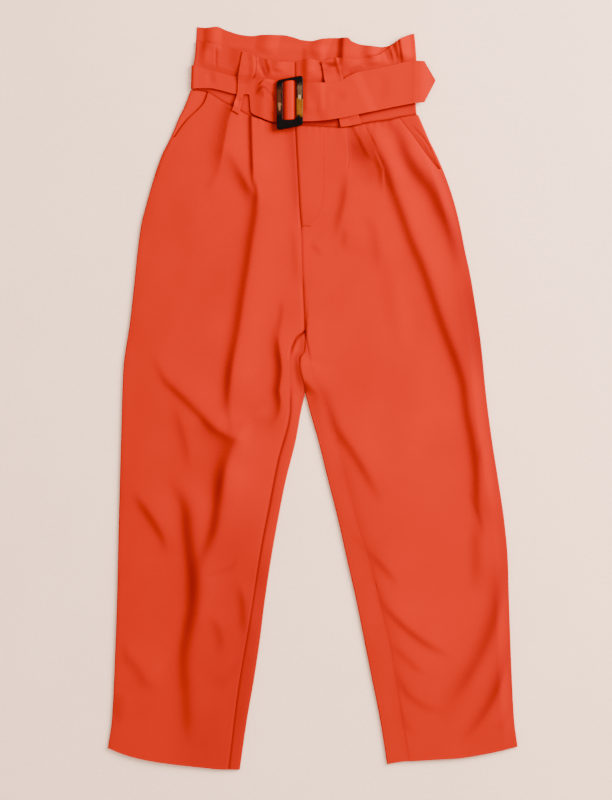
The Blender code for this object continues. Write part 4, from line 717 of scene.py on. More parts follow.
def cloth_height(x, y):
    """Height of the outer face of all that faces up, from the waist seam down to the hems."""
    x, y = np.broadcast_arrays(np.asarray(x, float), np.asarray(y, float))
    base, lowest, inset = cloth_base(x, y)
    relief = (all_relief(FOLDS, x, y) + ripple(x, y)) * fade(inset, 0, EDGE_CALM)
    below_waist = smooth_value(WAIST_SEAM, x) - y
    wave = np.sin(x / 1.9 + 2.2 * np.sin(x / 13))
    pucker = PUCKER * wave * np.exp(-below_waist / PUCKER_REACH) * fade(inset, 0, PUCKER_CALM)
    above = base + relief + pucker - lowest
    return lowest + 0.5 * (above + np.sqrt(above ** 2 + 0.25)) - 0.25 * np.exp(-inset)


def loop_back_lift(x, y):
    """The belt and the waistband lie over the back belt loop."""
    beside = 1 - fade(np.abs(x - CENTRE_BACK_WAIST_X), 8, 17)
    low, high = LOOP_BACK_Y
    along = fade(y, low - 26, low - 12) * fade(-y, -high - 12, -high)
    return LAYER * beside * along


def band_side(x, y):
    """Distance from the nearer side of the waistband."""
    return np.minimum(x - smooth_value(BAND_EDGE[RIGHT], y), smooth_value(BAND_EDGE[LEFT], y) - x)


def band_bottom(x, y):
    """Height of the back waistband's outer face, which faces down on to the belt."""
    x, y = np.broadcast_arrays(np.asarray(x, float), np.asarray(y, float))
    belt_top = smooth_value(BELT_BACK_HIGH, x)
    over_belt = LAYER * (1 - fade(y, belt_top + 8, belt_top + 20))
    frill = np.maximum(all_relief(BACK_FRILL_FOLDS, x, y), 0)
    return over_belt + loop_back_lift(x, y) + frill * fade(band_side(x, y), 2, BAND_CALM)


def band_height(x, y):
    """Height of the front waistband's outer face: flat under the belt, full of folds in the frill."""
    x, y = np.broadcast_arrays(np.asarray(x, float), np.asarray(y, float))
    inset = np.maximum(band_side(x, y) - EDGE_RADIUS, 0)
    above_belt = fade(y, smooth_value(BELT_HIGH, x) - 2, smooth_value(BELT_HIGH, x) + 10)
    least = WALL + LAYER + 0.2
    edge = (EDGE_HEIGHT - least) * np.exp(-inset / 8)
    folds = all_relief(BAND_FOLDS, x, y)
    frill = (FRILL_HEIGHT + np.maximum(folds, FRILL_LOWEST)) * fade(inset, 0, BAND_CALM)
    return band_bottom(x, y) + least + edge + above_belt * np.maximum(frill, 0)


def layer_below_loop(x, y):
    """The waistband above the waist seam, the trousers below it."""
    on_band = y > smooth_value(WAIST_SEAM, x)
    return np.where(on_band, band_height(x, y), cloth_height(x, y))


def highest_near(height, x, y, reach):
    """The highest a layer gets near a point, for a loop to lie on."""
    found = [
        height(x + step_x, y + step_y) for step_x in (-reach, 0, reach) for step_y in (-reach, 0, reach)
    ]
    return np.max(found, axis=0)


def tail_over_loop(x, y):
    """The free belt end lies over the left belt loop."""
    rows = LOOP_ROWS[LEFT]
    x_from = smooth_value([(row.y, row.x_from) for row in rows], y)
    x_to = smooth_value([(row.y, row.x_to) for row in rows], y)
    return (LAYER + 0.2) * fade(x, x_from - 30, x_from - 12) * (1 - fade(x, x_to + 12, x_to + 30))


def belt_front_height(x, y):
    """Outer face of the stretch of belt that shows; past the waist's side its pointed end droops."""
    rise = smooth_value(BELT_RISE, x)
    droop = TIP_DROOP * fade(x, *TIP_DROOP_X)
    at_buckle = buckle_drop(y) * (1 - fade(np.abs(x - CENTRE_BAR_X), 6, 16))
    creases = all_relief(BELT_FOLDS, x, y)
    below = band_height(np.minimum(x, BAND_LEFT_END_X), y)
    return below + rise + tail_over_loop(x, y) + creases - droop - at_buckle


def fixed_belt_height(x, y):
    """Outer face of the belt's end that is sewn to the buckle, under the free end."""
    return band_height(x, y) + smooth_value(FIXED_RISE, x)


def buckle_drop(y):
    """The buckle's tilt: how much lower it lies towards its upper end."""
    return math.sin(BUCKLE_TILT) * (y - BUCKLE_OUTSIDE.centre_y)


# ================================================================ materials
def node_material(name):
    """A new material, its nodes, its links and its shader."""
    made = bpy.data.materials.new(name)
    made.use_nodes = True
    return made, made.node_tree.nodes, made.node_tree.links, made.node_tree.nodes["Principled BSDF"]


def noise(nodes, links, coordinates, scale, detail=3.0, roughness=0.5, stretch=(1, 1, 1)):
    """Noise, drawn out along an axis by a smaller stretch."""
    place = nodes.new("ShaderNodeMapping")
    place.inputs["Scale"].default_value = stretch
    texture = nodes.new("ShaderNodeTexNoise")
    texture.inputs["Scale"].default_value = scale
    texture.inputs["Detail"].default_value = detail
    texture.inputs["Roughness"].default_value = roughness
    links.new(coordinates, place.inputs["Vector"])
    links.new(place.outputs["Vector"], texture.inputs["Vector"])
    return texture.outputs["Fac"]


def ramp(nodes, links, factor, stops):
    """Colours at positions from 0 to 1."""
    made = nodes.new("ShaderNodeValToRGB")
    elements = made.color_ramp.elements
    while len(elements) < len(stops):
        elements.new(0.5)
    for element, (position, colour) in zip(elements, stops):
        element.position = position
        element.color = (*colour, 1.0)
    links.new(factor, made.inputs["Fac"])
    return made.outputs["Color"]


def mix_colour(nodes, links, kind, factor, first, second):
    """Two colours mixed or multiplied, each one a value or a socket."""
    made = nodes.new("ShaderNodeMix")
    made.data_type = "RGBA"
    made.blend_type = kind
    for name, value in (("Factor", factor), ("A", first), ("B", second)):
        socket = made.inputs[name]
        if isinstance(value, (int, float)):
            socket.default_value = value
        elif isinstance(value, tuple):
            socket.default_value = (*value, 1.0)
        else:
            links.new(value, socket)
    return made.outputs["Result"]


def scaled(colour, by):
    """A colour made darker or brighter."""
    return tuple(channel * by for channel in colour)


def calculated(nodes, links, operation, first, second):
    """A sum or product of two values."""
    made = nodes.new("ShaderNodeMath")
    made.operation = operation
    for socket, value in zip(made.inputs, (first, second)):
        if isinstance(value, float):
            socket.default_value = value
        else:
            links.new(value, socket)
    return made.outputs["Value"]


def bumped(nodes, links, height, strength, distance, normal=None):
    """Fine relief, its depth in millimetres, on top of another where there is one."""
    made = nodes.new("ShaderNodeBump")
    made.inputs["Strength"].default_value = strength
    made.inputs["Distance"].default_value = distance * MM
    links.new(height, made.inputs["Height"])
    if normal is not None:
        links.new(normal, made.inputs["Normal"])
    return made.outputs["Normal"]


def threads(nodes, links, surface, turn, scale):
    """The waves of one set of threads of the weave."""
    place = nodes.new("ShaderNodeMapping")
    place.inputs["Rotation"].default_value = (0, 0, math.radians(turn))
    links.new(surface, place.inputs["Vector"])
    made = nodes.new("ShaderNodeTexWave")
    made.bands_direction = "X"
    made.inputs["Scale"].default_value = scale
    made.inputs["Distortion"].default_value = 0.6
    made.inputs["Detail Scale"].default_value = 2.0
    links.new(place.outputs["Vector"], made.inputs["Vector"])
    return made.outputs["Fac"]


def cloth_material(settings):
    """Fine twill: uneven dye, painted shade in a darker red in folds, along seams and under the belt's
    edge, a weave of 0.6 mm and a soft nap.
    """
    made, nodes, links, shader = node_material("trouser_twill")
    where = nodes.new("ShaderNodeTexCoord").outputs["Object"]
    uv_map = nodes.new("ShaderNodeUVMap")
    uv_map.uv_map = "weave"
    surface = uv_map.outputs["UV"]
    base = tuple(settings.colour)
    blotches = noise(nodes, links, where, 9.0, 4.0, 0.55)
    dye = ramp(nodes, links, blotches, ((0.3, scaled(base, 0.95)), (0.7, scaled(base, 1.04))))
    slubs = noise(nodes, links, surface, 160.0, 2.0, 0.6, (1.0, 6.0, 1.0))
    paler = ramp(nodes, links, slubs, ((0.3, (0.7,) * 3), (0.7, (1.0,) * 3)))
    dye = mix_colour(nodes, links, "MULTIPLY", 0.12, dye, paler)
    # Painted shade: the depth attribute mixes in the darker red where folds, seams and the belt's edge
    # would shade the cloth
    depth = nodes.new("ShaderNodeAttribute")
    depth.attribute_name = "depth"
    shaded = calculated(nodes, links, "MULTIPLY", depth.outputs["Fac"], DEEPEST_SHARE)
    colour = mix_colour(nodes, links, "MIX", shaded, dye, tuple(settings.painted_shade_colour))
    links.new(colour, shader.inputs["Base Color"])
    shader.inputs["Roughness"].default_value = settings.roughness
    shader.inputs["Specular IOR Level"].default_value = 0.03
    shader.inputs["Sheen Weight"].default_value = settings.sheen
    shader.inputs["Sheen Roughness"].default_value = 0.4
    shader.inputs["Sheen Tint"].default_value = (1.0, 0.1, 0.04, 1.0)
    bands = 1 / (settings.weave * MM) / 20
    warp = threads(nodes, links, surface, 30, bands)
    weft = threads(nodes, links, surface, -60, bands * 0.8)
    weave = bumped(nodes, links, calculated(nodes, links, "ADD", warp, weft), 0.1, 0.15)
    nap = bumped(nodes, links, noise(nodes, links, where, 260.0, 3.0, 0.6), 0.15, 0.5, weave)
    links.new(nap, shader.inputs["Normal"])
    return made


def thread_material(settings):
    """Sewing thread, twisted, a shade darker than the cloth."""
    made, nodes, links, shader = node_material("sewing_thread")
    where = nodes.new("ShaderNodeTexCoord").outputs["Object"]
    twist = noise(nodes, links, where, 900.0, 2.0)
    base = scaled(tuple(settings.colour), 0.75)
    colour = ramp(nodes, links, twist, ((0.3, scaled(base, 0.7)), (0.7, base)))
    links.new(colour, shader.inputs["Base Color"])
    shader.inputs["Roughness"].default_value = 0.7
    shader.inputs["Specular IOR Level"].default_value = 0.05
    return made


def zone(nodes, links, coordinate, low, high, soft):
    """1 between two places along an axis, in millimetres, with soft ends."""
    ends = []
    for start, end in ((low - soft, low + soft), (high + soft, high - soft)):
        edge = nodes.new("ShaderNodeMapRange")
        edge.interpolation_type = "SMOOTHSTEP"
        edge.inputs["From Min"].default_value = start * MM
        edge.inputs["From Max"].default_value = end * MM
        links.new(coordinate, edge.inputs["Value"])
        ends.append(edge.outputs["Result"])
    return calculated(nodes, links, "MULTIPLY", *ends)


def wandering(nodes, links, where, reach):
    """Coordinates that wander within a reach, so that what is laid out by them has uneven edges."""
    warp = nodes.new("ShaderNodeTexNoise")
    warp.inputs["Scale"].default_value = 170.0
    warp.inputs["Detail"].default_value = 3.0
    links.new(where, warp.inputs["Vector"])
    back = nodes.new("ShaderNodeVectorMath")
    back.operation = "SUBTRACT"
    back.inputs[1].default_value = [length / 2 for length in reach]
    links.new(where, back.inputs[0])
    moved = nodes.new("ShaderNodeVectorMath")
    moved.operation = "MULTIPLY_ADD"
    moved.inputs[1].default_value = reach
    links.new(warp.outputs["Color"], moved.inputs[0])
    links.new(back.outputs["Vector"], moved.inputs[2])
    return moved.outputs["Vector"]


def tortoiseshell_material(settings):
    """Polished resin, near black, with brown, amber and pale clouds in its two long bars; the pale cloud on
    the right bar is a painted highlight.
    """
    made, nodes, links, shader = node_material("buckle_resin")
    where = nodes.new("ShaderNodeTexCoord").outputs["Object"]
    place = nodes.new("ShaderNodeSeparateXYZ")
    links.new(wandering(nodes, links, where, (5 * MM, 9 * MM, 0)), place.inputs["Vector"])
    streaks = noise(nodes, links, where, 260.0, 3.0, 0.6, (1.0, 0.16, 1.0))
    veins = ramp(nodes, links, streaks, ((0.38, (0.45,) * 3), (0.62, (1.0,) * 3)))
    dark = tuple(settings.dark)
    colour = ramp(nodes, links, streaks, ((0.4, dark), (0.75, scaled(dark, 2.5))))
    for cloud in CLOUDS:
        across = zone(nodes, links, place.outputs["X"], cloud.x_low, cloud.x_high, 0.8)
        along = zone(nodes, links, place.outputs["Y"], cloud.y_low, cloud.y_high, cloud.soft)
        share = calculated(nodes, links, "MULTIPLY", across, along)
        tint = mix_colour(nodes, links, "MULTIPLY", settings.vein_contrast, cloud.colour, veins)
        colour = mix_colour(nodes, links, "MIX", share, colour, tint)
    links.new(colour, shader.inputs["Base Color"])
    shader.inputs["Roughness"].default_value = 0.2
    shader.inputs["Specular IOR Level"].default_value = 0.05
    shader.inputs["Coat Weight"].default_value = 0.03
    shader.inputs["Coat Roughness"].default_value = 0.04
    return made


def floor_material(settings):
    """Pale matt floor with a faint grain."""
    made, nodes, links, shader = node_material("pale_floor")
    where = nodes.new("ShaderNodeTexCoord").outputs["Object"]
    base = tuple(settings.floor_colour)
    patches = noise(nodes, links, where, 7.0, 6.0, 0.6)
    tone = ramp(nodes, links, patches, ((0.3, scaled(base, 0.965)), (0.7, scaled(base, 1.02))))
    grain = noise(nodes, links, where, 210.0, 3.0, 0.7)
    speckle = ramp(nodes, links, grain, ((0.3, (0.88,) * 3), (0.7, (1.0,) * 3)))
    tone = mix_colour(nodes, links, "MULTIPLY", 0.8, tone, speckle)
    links.new(tone, shader.inputs["Base Color"])
    shader.inputs["Roughness"].default_value = 0.9
    links.new(bumped(nodes, links, grain, 0.15, 0.6), shader.inputs["Normal"])
    return made


# ================================================================ sheets
def edge_roll(x_edge, towards, low, high, steps=ROLL_STEPS, first=0):
    """Points (x, z) of the roll at a side edge, from its top round to its underside."""
    radius = (high - low) / 2
    middle = (high + low) / 2
    found = []
    for step in range(first, steps + 1):
        angle = math.pi * step / steps
        found.append((x_edge - towards * radius * (1 - np.sin(angle)), middle + radius * np.cos(angle)))
    return found


def with_side_roll(x, y, z, edge_x, side, low=0.0):
    """A grid with the roll at its outer edge and the lap under it added as columns."""
    edge_y = y[:, -1]
    roll = edge_roll(edge_x, side, low, low + EDGE_HEIGHT, first=1)
    roll.append((edge_x - side * (EDGE_RADIUS + LAP_UNDER), low))
    x = np.column_stack([x] + [points[0] for points in roll])
    z = np.column_stack([z] + [points[1] * np.ones(len(edge_y)) for points in roll])
    return x, np.column_stack([y] + [edge_y] * len(roll)), z


def widened(tone, columns):
    """A grid of shades with its last column repeated, up to a number of columns."""
    return np.column_stack([tone] + [tone[:, -1]] * (columns - tone.shape[1]))


def surface_lengths(x, y, z):
    """Distances along the cloth from its first column and its first row."""
    along = np.sqrt(np.diff(x, axis=1) ** 2 + np.diff(y, axis=1) ** 2 + np.diff(z, axis=1) ** 2)
    down = np.sqrt(np.diff(x, axis=0) ** 2 + np.diff(y, axis=0) ** 2 + np.diff(z, axis=0) ** 2)
    u = np.column_stack([np.zeros(len(x)), np.cumsum(along, axis=1)])
    v = np.vstack([np.zeros(x.shape[1]), np.cumsum(down, axis=0)])
    return u, v


def made_object(body, name, material, smooth=True):
    """An object made of a bmesh, with its material."""
    mesh = bpy.data.meshes.new(name)
    body.to_mesh(mesh)
    body.free()
    if smooth:
        mesh.shade_smooth()
    thing = bpy.data.objects.new(name, mesh)
    bpy.context.scene.collection.objects.link(thing)
    thing.data.materials.append(material)
    return thing


def thicken(thing, round_edge):
    """Gives a piece of cloth its wall, and a round rim where one is asked for."""
    wall = thing.modifiers.new("wall", "SOLIDIFY")
    wall.thickness = WALL * MM
    wall.offset = -1
    if round_edge:
        rim = thing.modifiers.new("rim", "BEVEL")
        rim.width = round_edge * MM
        rim.segments = 2
        rim.limit_method = "ANGLE"
        rim.angle_limit = math.radians(70)


def sheet(name, x, y, z, kept, faces_up, depth=None, round_edge=RIM_ROUND):
    """One piece of cloth: a grid placed on (x, y, z), cut to the kept cells, with its wall inwards."""
    x, y, z = (np.array(values, float) * np.ones(np.broadcast(x, y, z).shape) for values in (x, y, z))
    rows, columns = x.shape
    grid = bmesh.new()
    weave = grid.loops.layers.uv.new("weave")
    # The depth attribute holds the painted shade of each corner, 0 to 1, for the cloth's material
    painted_shade_layer = grid.verts.layers.float.new("depth")
    bmesh.ops.create_grid(grid, x_segments=columns - 1, y_segments=rows - 1, size=1)
    u, v = surface_lengths(x, y, z)
    for vert in grid.verts:
        column = round((vert.co.x + 1) / 2 * (columns - 1))
        row = round((1 - vert.co.y) / 2 * (rows - 1))
        vert.co = (x[row, column] * MM, y[row, column] * MM, z[row, column] * MM)
        vert.index = row * columns + column
        if depth is not None:
            vert[painted_shade_layer] = depth[row, column]
    dropped = []
    area = 0.0
    for face in grid.faces:
        corner = min(vert.index for vert in face.verts)
        if kept is not None and not kept[corner // columns, corner % columns]:
            dropped.append(face)
            continue
        area += face.calc_area()
        for loop in face.loops:
            row, column = divmod(loop.vert.index, columns)
            loop[weave].uv = (u[row, column] * MM, v[row, column] * MM)
    bmesh.ops.delete(grid, geom=dropped, context="FACES")
    if not faces_up:
        bmesh.ops.reverse_faces(grid, faces=grid.faces[:])
    for face in grid.faces:
        face.smooth = True
    for edge in grid.edges:
        edge.smooth = not edge.is_boundary
    thing = made_object(grid, name, bpy.data.materials["trouser_twill"], smooth=False)
    thicken(thing, round_edge)
    flat_width = float(u.max(axis=1).max()) * MM
    flat_length = float(v.max(axis=0).max()) * MM
    return thing, (flat_width, flat_length), area


def place_cloth(node, built):
    """Attaches a finished piece of cloth to the root and hides the part of the model that it stands for."""
    thing, flat, area = built
    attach(thing, "root")
    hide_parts(node)


def fine_rows(key_rows, spacing):
    """The key rows of a panel with rows put between them."""
    rows = []
    for above, below in zip(key_rows, key_rows[1:]):
        count = max(1, round((above.outer - below.outer) / spacing))
        for step in range(count):
            share = step / count
            rows.append(PanelRow(*[a * (1 - share) + b * share for a, b in zip(above, below)]))
    rows.append(key_rows[-1])
    return rows


def panel_y(rows, share, x_of, seam, hem):
    """Rows of a panel: straight between the two sides, bent to the seam above and the hem below."""
    inner, outer, waist, low = (np.array(values, float)[:, None] for values in zip(*rows))
    y = inner + (outer - inner) * share
    straight_top = inner[0] + (outer[0] - inner[0]) * share
    straight_hem = inner[-1] + (outer[-1] - inner[-1]) * share
    bent = y
    for _ in range(FITTING_ROUNDS):
        x = x_of(bent, share)
        bent = y + waist * (smooth_value(seam, x) - WAIST_SEAM_GAP / 2 - straight_top)
        bent = bent + low * (smooth_value(hem, x) - straight_hem)
    return bent


# ================================================================ panels
def front_inner_x(side, y):
    """The front's inner seam: centre front, then the inseam."""
    line = np.where(y > CROTCH_POINT_Y, smooth_value(CENTRE_FRONT, y), smooth_value(INSEAM[side], y))
    return line + side * SEAM_GAP / 2


def front_outer_x(side, y):
    """The front's outer edge: the pocket mouth, then the side where the leg rolls down."""
    at_roll = smooth_value(SIDE_EDGE[side], y) - side * EDGE_RADIUS
    mouth = smooth_value(POCKET_MOUTH[side], y)
    return np.where(y > POCKET_END_Y[side], mouth, at_roll)


def front_panel(side, name):
    """A front from the waist seam to the hem, with its folds, rolled round at its side."""
    rows = fine_rows(FRONT_ROWS[side], ROW_SPACING)
    share = np.linspace(0, 1, FRONT_COLUMNS + 1)[None, :]

    def x_of(y, s):
        return front_inner_x(side, y) * (1 - s) + front_outer_x(side, y[:, -1:]) * s

    y = panel_y(rows, share, x_of, WAIST_SEAM, HEM[side])
    x = x_of(y, share)
    centre_depth = smooth_value(CENTRE_FRONT_DEPTH, y)
    seam_depth = np.where(y > CROTCH_POINT_Y, centre_depth, smooth_value(INSEAM_DEPTH[side], y))
    to_seam = np.abs(x - front_inner_x(side, y))
    waist_depth = smooth_value(WAIST_SEAM_SHADE, x)
    below_waist = smooth_value(WAIST_SEAM, x) - y
    to_mouth = np.abs(x - smooth_value(POCKET_MOUTH[side], y)) * POCKET_MOUTH_SLANT
    z = cloth_height(x, y) + seam_dip(to_seam, seam_depth) + seam_dip(below_waist, waist_depth)
    z = z + np.where(y > POCKET_END_Y[side], POCKET_MOUTH_DIP * seam_dip(to_mouth), 0)
    # Painted shade in the folds, along the waist seam, and along the centre front and the inseam
    tone = fold_tone(FOLDS, x, y)
    tone = np.maximum(tone, waist_depth * painted_shade_by_distance(below_waist, SEAM_SHADE_REACH))
    tone = np.maximum(tone, np.clip(seam_depth, 0, 1) * painted_shade_by_distance(to_seam, SEAM_SHADE_REACH))
    x, y, z = with_side_roll(x, y, z, smooth_value(SIDE_EDGE[side], y[:, -1]), side)
    kept = np.ones((x.shape[0] - 1, x.shape[1] - 1), bool)
    kept[y[:-1, -1] > POCKET_END_Y[side] + 2, FRONT_COLUMNS:] = False
    return sheet(name, x, y, z, kept, side == LEFT, widened(tone, x.shape[1]), round_edge=0)


def back_inner_x(side, y):
    """The back's inner boundary underneath: centre back seam, then where the inner leg rolls up."""
    seam = smooth_value(CENTRE_BACK, y) + side * SEAM_GAP / 2
    roll = smooth_value(INNER_EDGE[side], y) + side * EDGE_RADIUS
    return np.where(y > CROTCH_Y + 1, seam, roll)


def fork_strip(side, rows, inner_x, inner_y):
    """The part of a back that lies on top: from the fork seam or the inner leg's roll to the inseam."""
    share = np.linspace(0, 1, FORK_CELLS + 1)[None, :]
    above_crotch = inner_y > CROTCH_Y + 1
    fork_seam = smooth_value(FORK_EDGE, inner_y) + side * SEAM_GAP / 2
    start = np.where(above_crotch, fork_seam, inner_x + side * EDGE_RADIUS)[:, None]
    end = (smooth_value(INSEAM[side], inner_y) - side * SEAM_GAP / 2)[:, None]
    end = start + side * np.maximum(side * (end - start), SEAM_GAP)
    x = start * (1 - share) + end * share
    y = np.repeat(inner_y[:, None], FORK_CELLS + 1, axis=1)
    hem_share = np.array([row.hem for row in rows], float)[:, None]
    y = y + hem_share * (smooth_value(HEM[side], x) - smooth_value(HEM[side], inner_x)[:, None])
    inseam_depth = smooth_value(INSEAM_DEPTH[side], y)
    to_inseam = np.abs(x - end)
    to_fork = np.abs(x - start)
    fork_dip = np.where(above_crotch[:, None], seam_dip(to_fork, smooth_value(FORK_DEPTH, y)), 0)
    z = cloth_height(x, y) + seam_dip(to_inseam, inseam_depth) + fork_dip
    # Painted shade along the inseam with a wider faint band, along the fork seam above the crotch, and in
    # the folds
    wide_tone = WIDE_SHADE * painted_shade_by_distance(to_inseam, WIDE_INSEAM_REACH)
    inseam_tone = np.clip(inseam_depth, 0, 1) * (painted_shade_by_distance(to_inseam, INSEAM_SHADE_REACH) + wide_tone)
    fork_tone = smooth_value(FORK_SHADE, y) * painted_shade_by_distance(to_fork, FORK_SHADE_REACH)
    tone = np.maximum(fold_tone(FOLDS, x, y), inseam_tone)
    return x, y, z, np.maximum(tone, np.where(above_crotch[:, None], fork_tone, 0))


def back_panel(side, name):
    """A back: flat on the floor, rolled up round the inner leg, and on top as far as the inseam."""
    rows = fine_rows(BACK_ROWS[side], ROW_SPACING)
    share = np.linspace(0, 1, BACK_COLUMNS + 1)[None, :]

    def x_of(y, s):
        outseam = smooth_value(SIDE_EDGE[side], y) - side * BACK_INSET
        return outseam * (1 - s) + back_inner_x(side, y) * s

    outer_first = tuple(PanelRow(row.outer, row.inner, row.waist, row.hem) for row in rows)
    y = panel_y(outer_first, share, x_of, BACK_WAIST_SEAM, HEM[side])
    x = x_of(y, share)
    from_side = np.abs(x - smooth_value(SIDE_EDGE[side], y))
    from_inner = np.abs(x - back_inner_x(side, y))
    z = np.maximum(all_relief(BACK_FOLDS, x, y) * fade(np.minimum(from_side, from_inner), *BACK_CALM), 0)
    inner_y = y[:, -1]
    inner_x = smooth_value(INNER_EDGE[side], inner_y)
    roll = edge_roll(inner_x, -side, 0, EDGE_HEIGHT)[::-1][1:-1]
    fork_x, fork_y, fork_z, tone = fork_strip(side, rows, inner_x, inner_y)
    # Painted shade: none on the underside, and the roll takes the strip's first column of it
    tone = np.column_stack([np.zeros(x.shape)] + [tone[:, 0]] * len(roll) + [tone])
    x = np.column_stack([x] + [points[0] for points in roll] + [fork_x])
    z = np.column_stack([z] + [np.broadcast_to(points[1], len(rows)) for points in roll] + [fork_z])
    y = np.column_stack([y] + [inner_y] * len(roll) + [fork_y])
    kept = np.ones((x.shape[0] - 1, x.shape[1] - 1), bool)
    middle_y = (inner_y[:-1] + inner_y[1:]) / 2
    kept[middle_y > CROTCH_Y + ROW_SPACING, BACK_COLUMNS : BACK_COLUMNS + ROLL_STEPS] = False
    kept[middle_y > CROTCH_POINT_Y, BACK_COLUMNS:] = False
    return sheet(name, x, y, z, kept, side == LEFT, tone, round_edge=0)


def pocket_side(side, name):
    """The piece behind a slant pocket mouth: under the front at its inner side, round the side edge."""
    columns, rows = POCKET_CELLS
    share = np.linspace(0, 1, columns + 1)[None, :]
    down = np.linspace(0, 1, rows + 1)[:, None]

    def x_of(y, s):
        under = smooth_value(POCKET_MOUTH[side], y) - side * POCKET_UNDERLAP
        at_roll = smooth_value(SIDE_EDGE[side], y) - side * EDGE_RADIUS
        return under * (1 - s) + at_roll * s

    low = POCKET_END_Y[side] + POCKET_END_GAP[side]
    top = 400.0 * np.ones_like(share)
    for _ in range(FITTING_ROUNDS):
        top = smooth_value(WAIST_SEAM, x_of(top, share)) - WAIST_SEAM_GAP / 2
    y = top * (1 - down) + low * down
    x = x_of(y, share)
    mouth = smooth_value(POCKET_MOUTH[side], y)
    at_roll = smooth_value(SIDE_EDGE[side], y) - side * EDGE_RADIUS
    out = np.clip((x - mouth) / (at_roll - mouth), 0, 1)
    z = INNER_PIECE_TOP + (EDGE_HEIGHT - INNER_PIECE_TOP) * fade(out, 0.1, 1)
    z = z + all_relief(POCKET_FOLDS, x, y)
    # Painted shade along the pocket mouth and in the pocket crease
    tone = np.maximum(painted_shade_by_distance(np.abs(x - mouth), MOUTH_SHADE_REACH), fold_tone(POCKET_FOLDS, x, y))
    x, y, z = with_side_roll(x, y, z, smooth_value(SIDE_EDGE[side], y[:, -1]), side)
    return sheet(name, x, y, z, None, side == LEFT, widened(tone, x.shape[1]), round_edge=POCKET_RIM_ROUND)


def fly_shield():
    """The underlap behind the centre front opening."""
    across = np.linspace(*FLY_UNDERLAP_X, 12)[None, :]
    y = np.linspace(*FLY_UNDERLAP_Y, 30)[:, None] * np.ones_like(across)
    x = smooth_value(CENTRE_FRONT, y) + across
    return sheet("fly_underlap", x, y, INNER_PIECE_TOP * np.ones_like(x), None, True)


# ================================================================ waistband
def front_band(side, name):
    """Half of the front waistband with its frill, rolled round at its side."""
    share = np.linspace(0, 1, BAND_CELLS[0] + 1)[None, :]
    up = np.linspace(0, 1, BAND_CELLS[1] + 1)[:, None]

    def x_of(y, s):
        at_roll = smooth_value(BAND_EDGE[side], y) - side * EDGE_RADIUS
        return (smooth_value(CENTRE_FRONT, y) + side * SEAM_GAP / 2) * (1 - s) + at_roll * s

    y = 400 + 60 * up * np.ones_like(share)
    for _ in range(FITTING_ROUNDS):
        x = x_of(y, share)
        seam = smooth_value(WAIST_SEAM, x) + WAIST_SEAM_GAP / 2
        y = seam * (1 - up) + smooth_value(FRONT_FRILL_TOP, x) * up
    x = x_of(y, share)
    z = band_height(x, y) + seam_dip(y - smooth_value(WAIST_SEAM, x), smooth_value(WAIST_SEAM_SHADE, x))
    z = z + seam_dip(np.abs(x - smooth_value(CENTRE_FRONT, y)), BAND_CENTRE_DEPTH)
    edge_x = smooth_value(BAND_EDGE[side], y[:, -1])
    x, y, z = with_side_roll(x, y, z, edge_x, side, band_bottom(edge_x, y[:, -1]))
    # Painted shade: a shadow under the belt's lower edge with a wider faint one, and shade in the frill's
    # folds, along the waist seam and along the centre front
    to_belt = np.abs(smooth_value(BELT_LOW, x) - y)
    painted_belt_shadow = smooth_value(BELT_SHADE, x) * painted_shade_by_distance(to_belt, smooth_value(BELT_SHADE_REACH, x))
    painted_belt_shadow = painted_belt_shadow + WIDE_SHADE * painted_shade_by_distance(to_belt, WIDE_BELT_REACH)
    tone = np.maximum(fold_tone(BAND_FOLDS, x, y), painted_belt_shadow)
    above_seam = y - smooth_value(WAIST_SEAM, x)
    tone = np.maximum(tone, smooth_value(WAIST_SEAM_SHADE, x) * painted_shade_by_distance(above_seam, SEAM_SHADE_REACH))
    tone = np.maximum(tone, painted_shade_by_distance(np.abs(x - smooth_value(CENTRE_FRONT, y)), SEAM_SHADE_REACH))
    return sheet(name, x, y, z, None, side == RIGHT, tone)


def back_band():
    """The back waistband, whose frill shows above the front's."""
    up = np.linspace(0, 1, BACK_BAND_CELLS[1] + 1)[:, None]
    x = np.linspace(-157, 134, BACK_BAND_CELLS[0] + 1)[None, :] * np.ones_like(up)
    for _ in range(FITTING_ROUNDS):
        seam = smooth_value(BACK_WAIST_SEAM, x) + WAIST_SEAM_GAP / 2
        y = seam * (1 - up) + smooth_value(BACK_FRILL_TOP, x) * up
        inset = BACK_INSET * (1 - fade(y[:, :1], *BACK_FRILL_STEP_Y))
        low_x = smooth_value(BAND_EDGE[RIGHT], y[:, :1]) + inset
        high_x = smooth_value(BAND_EDGE[LEFT], y[:, -1:]) - BACK_INSET
        x = low_x + (high_x - low_x) * np.linspace(0, 1, x.shape[1])[None, :]
    # Painted shade in the frill's folds
    tone = fold_tone(BACK_FRILL_FOLDS, x, y)
    return sheet("waistband_back_frill", x, y, band_bottom(x, y), None, True, tone)


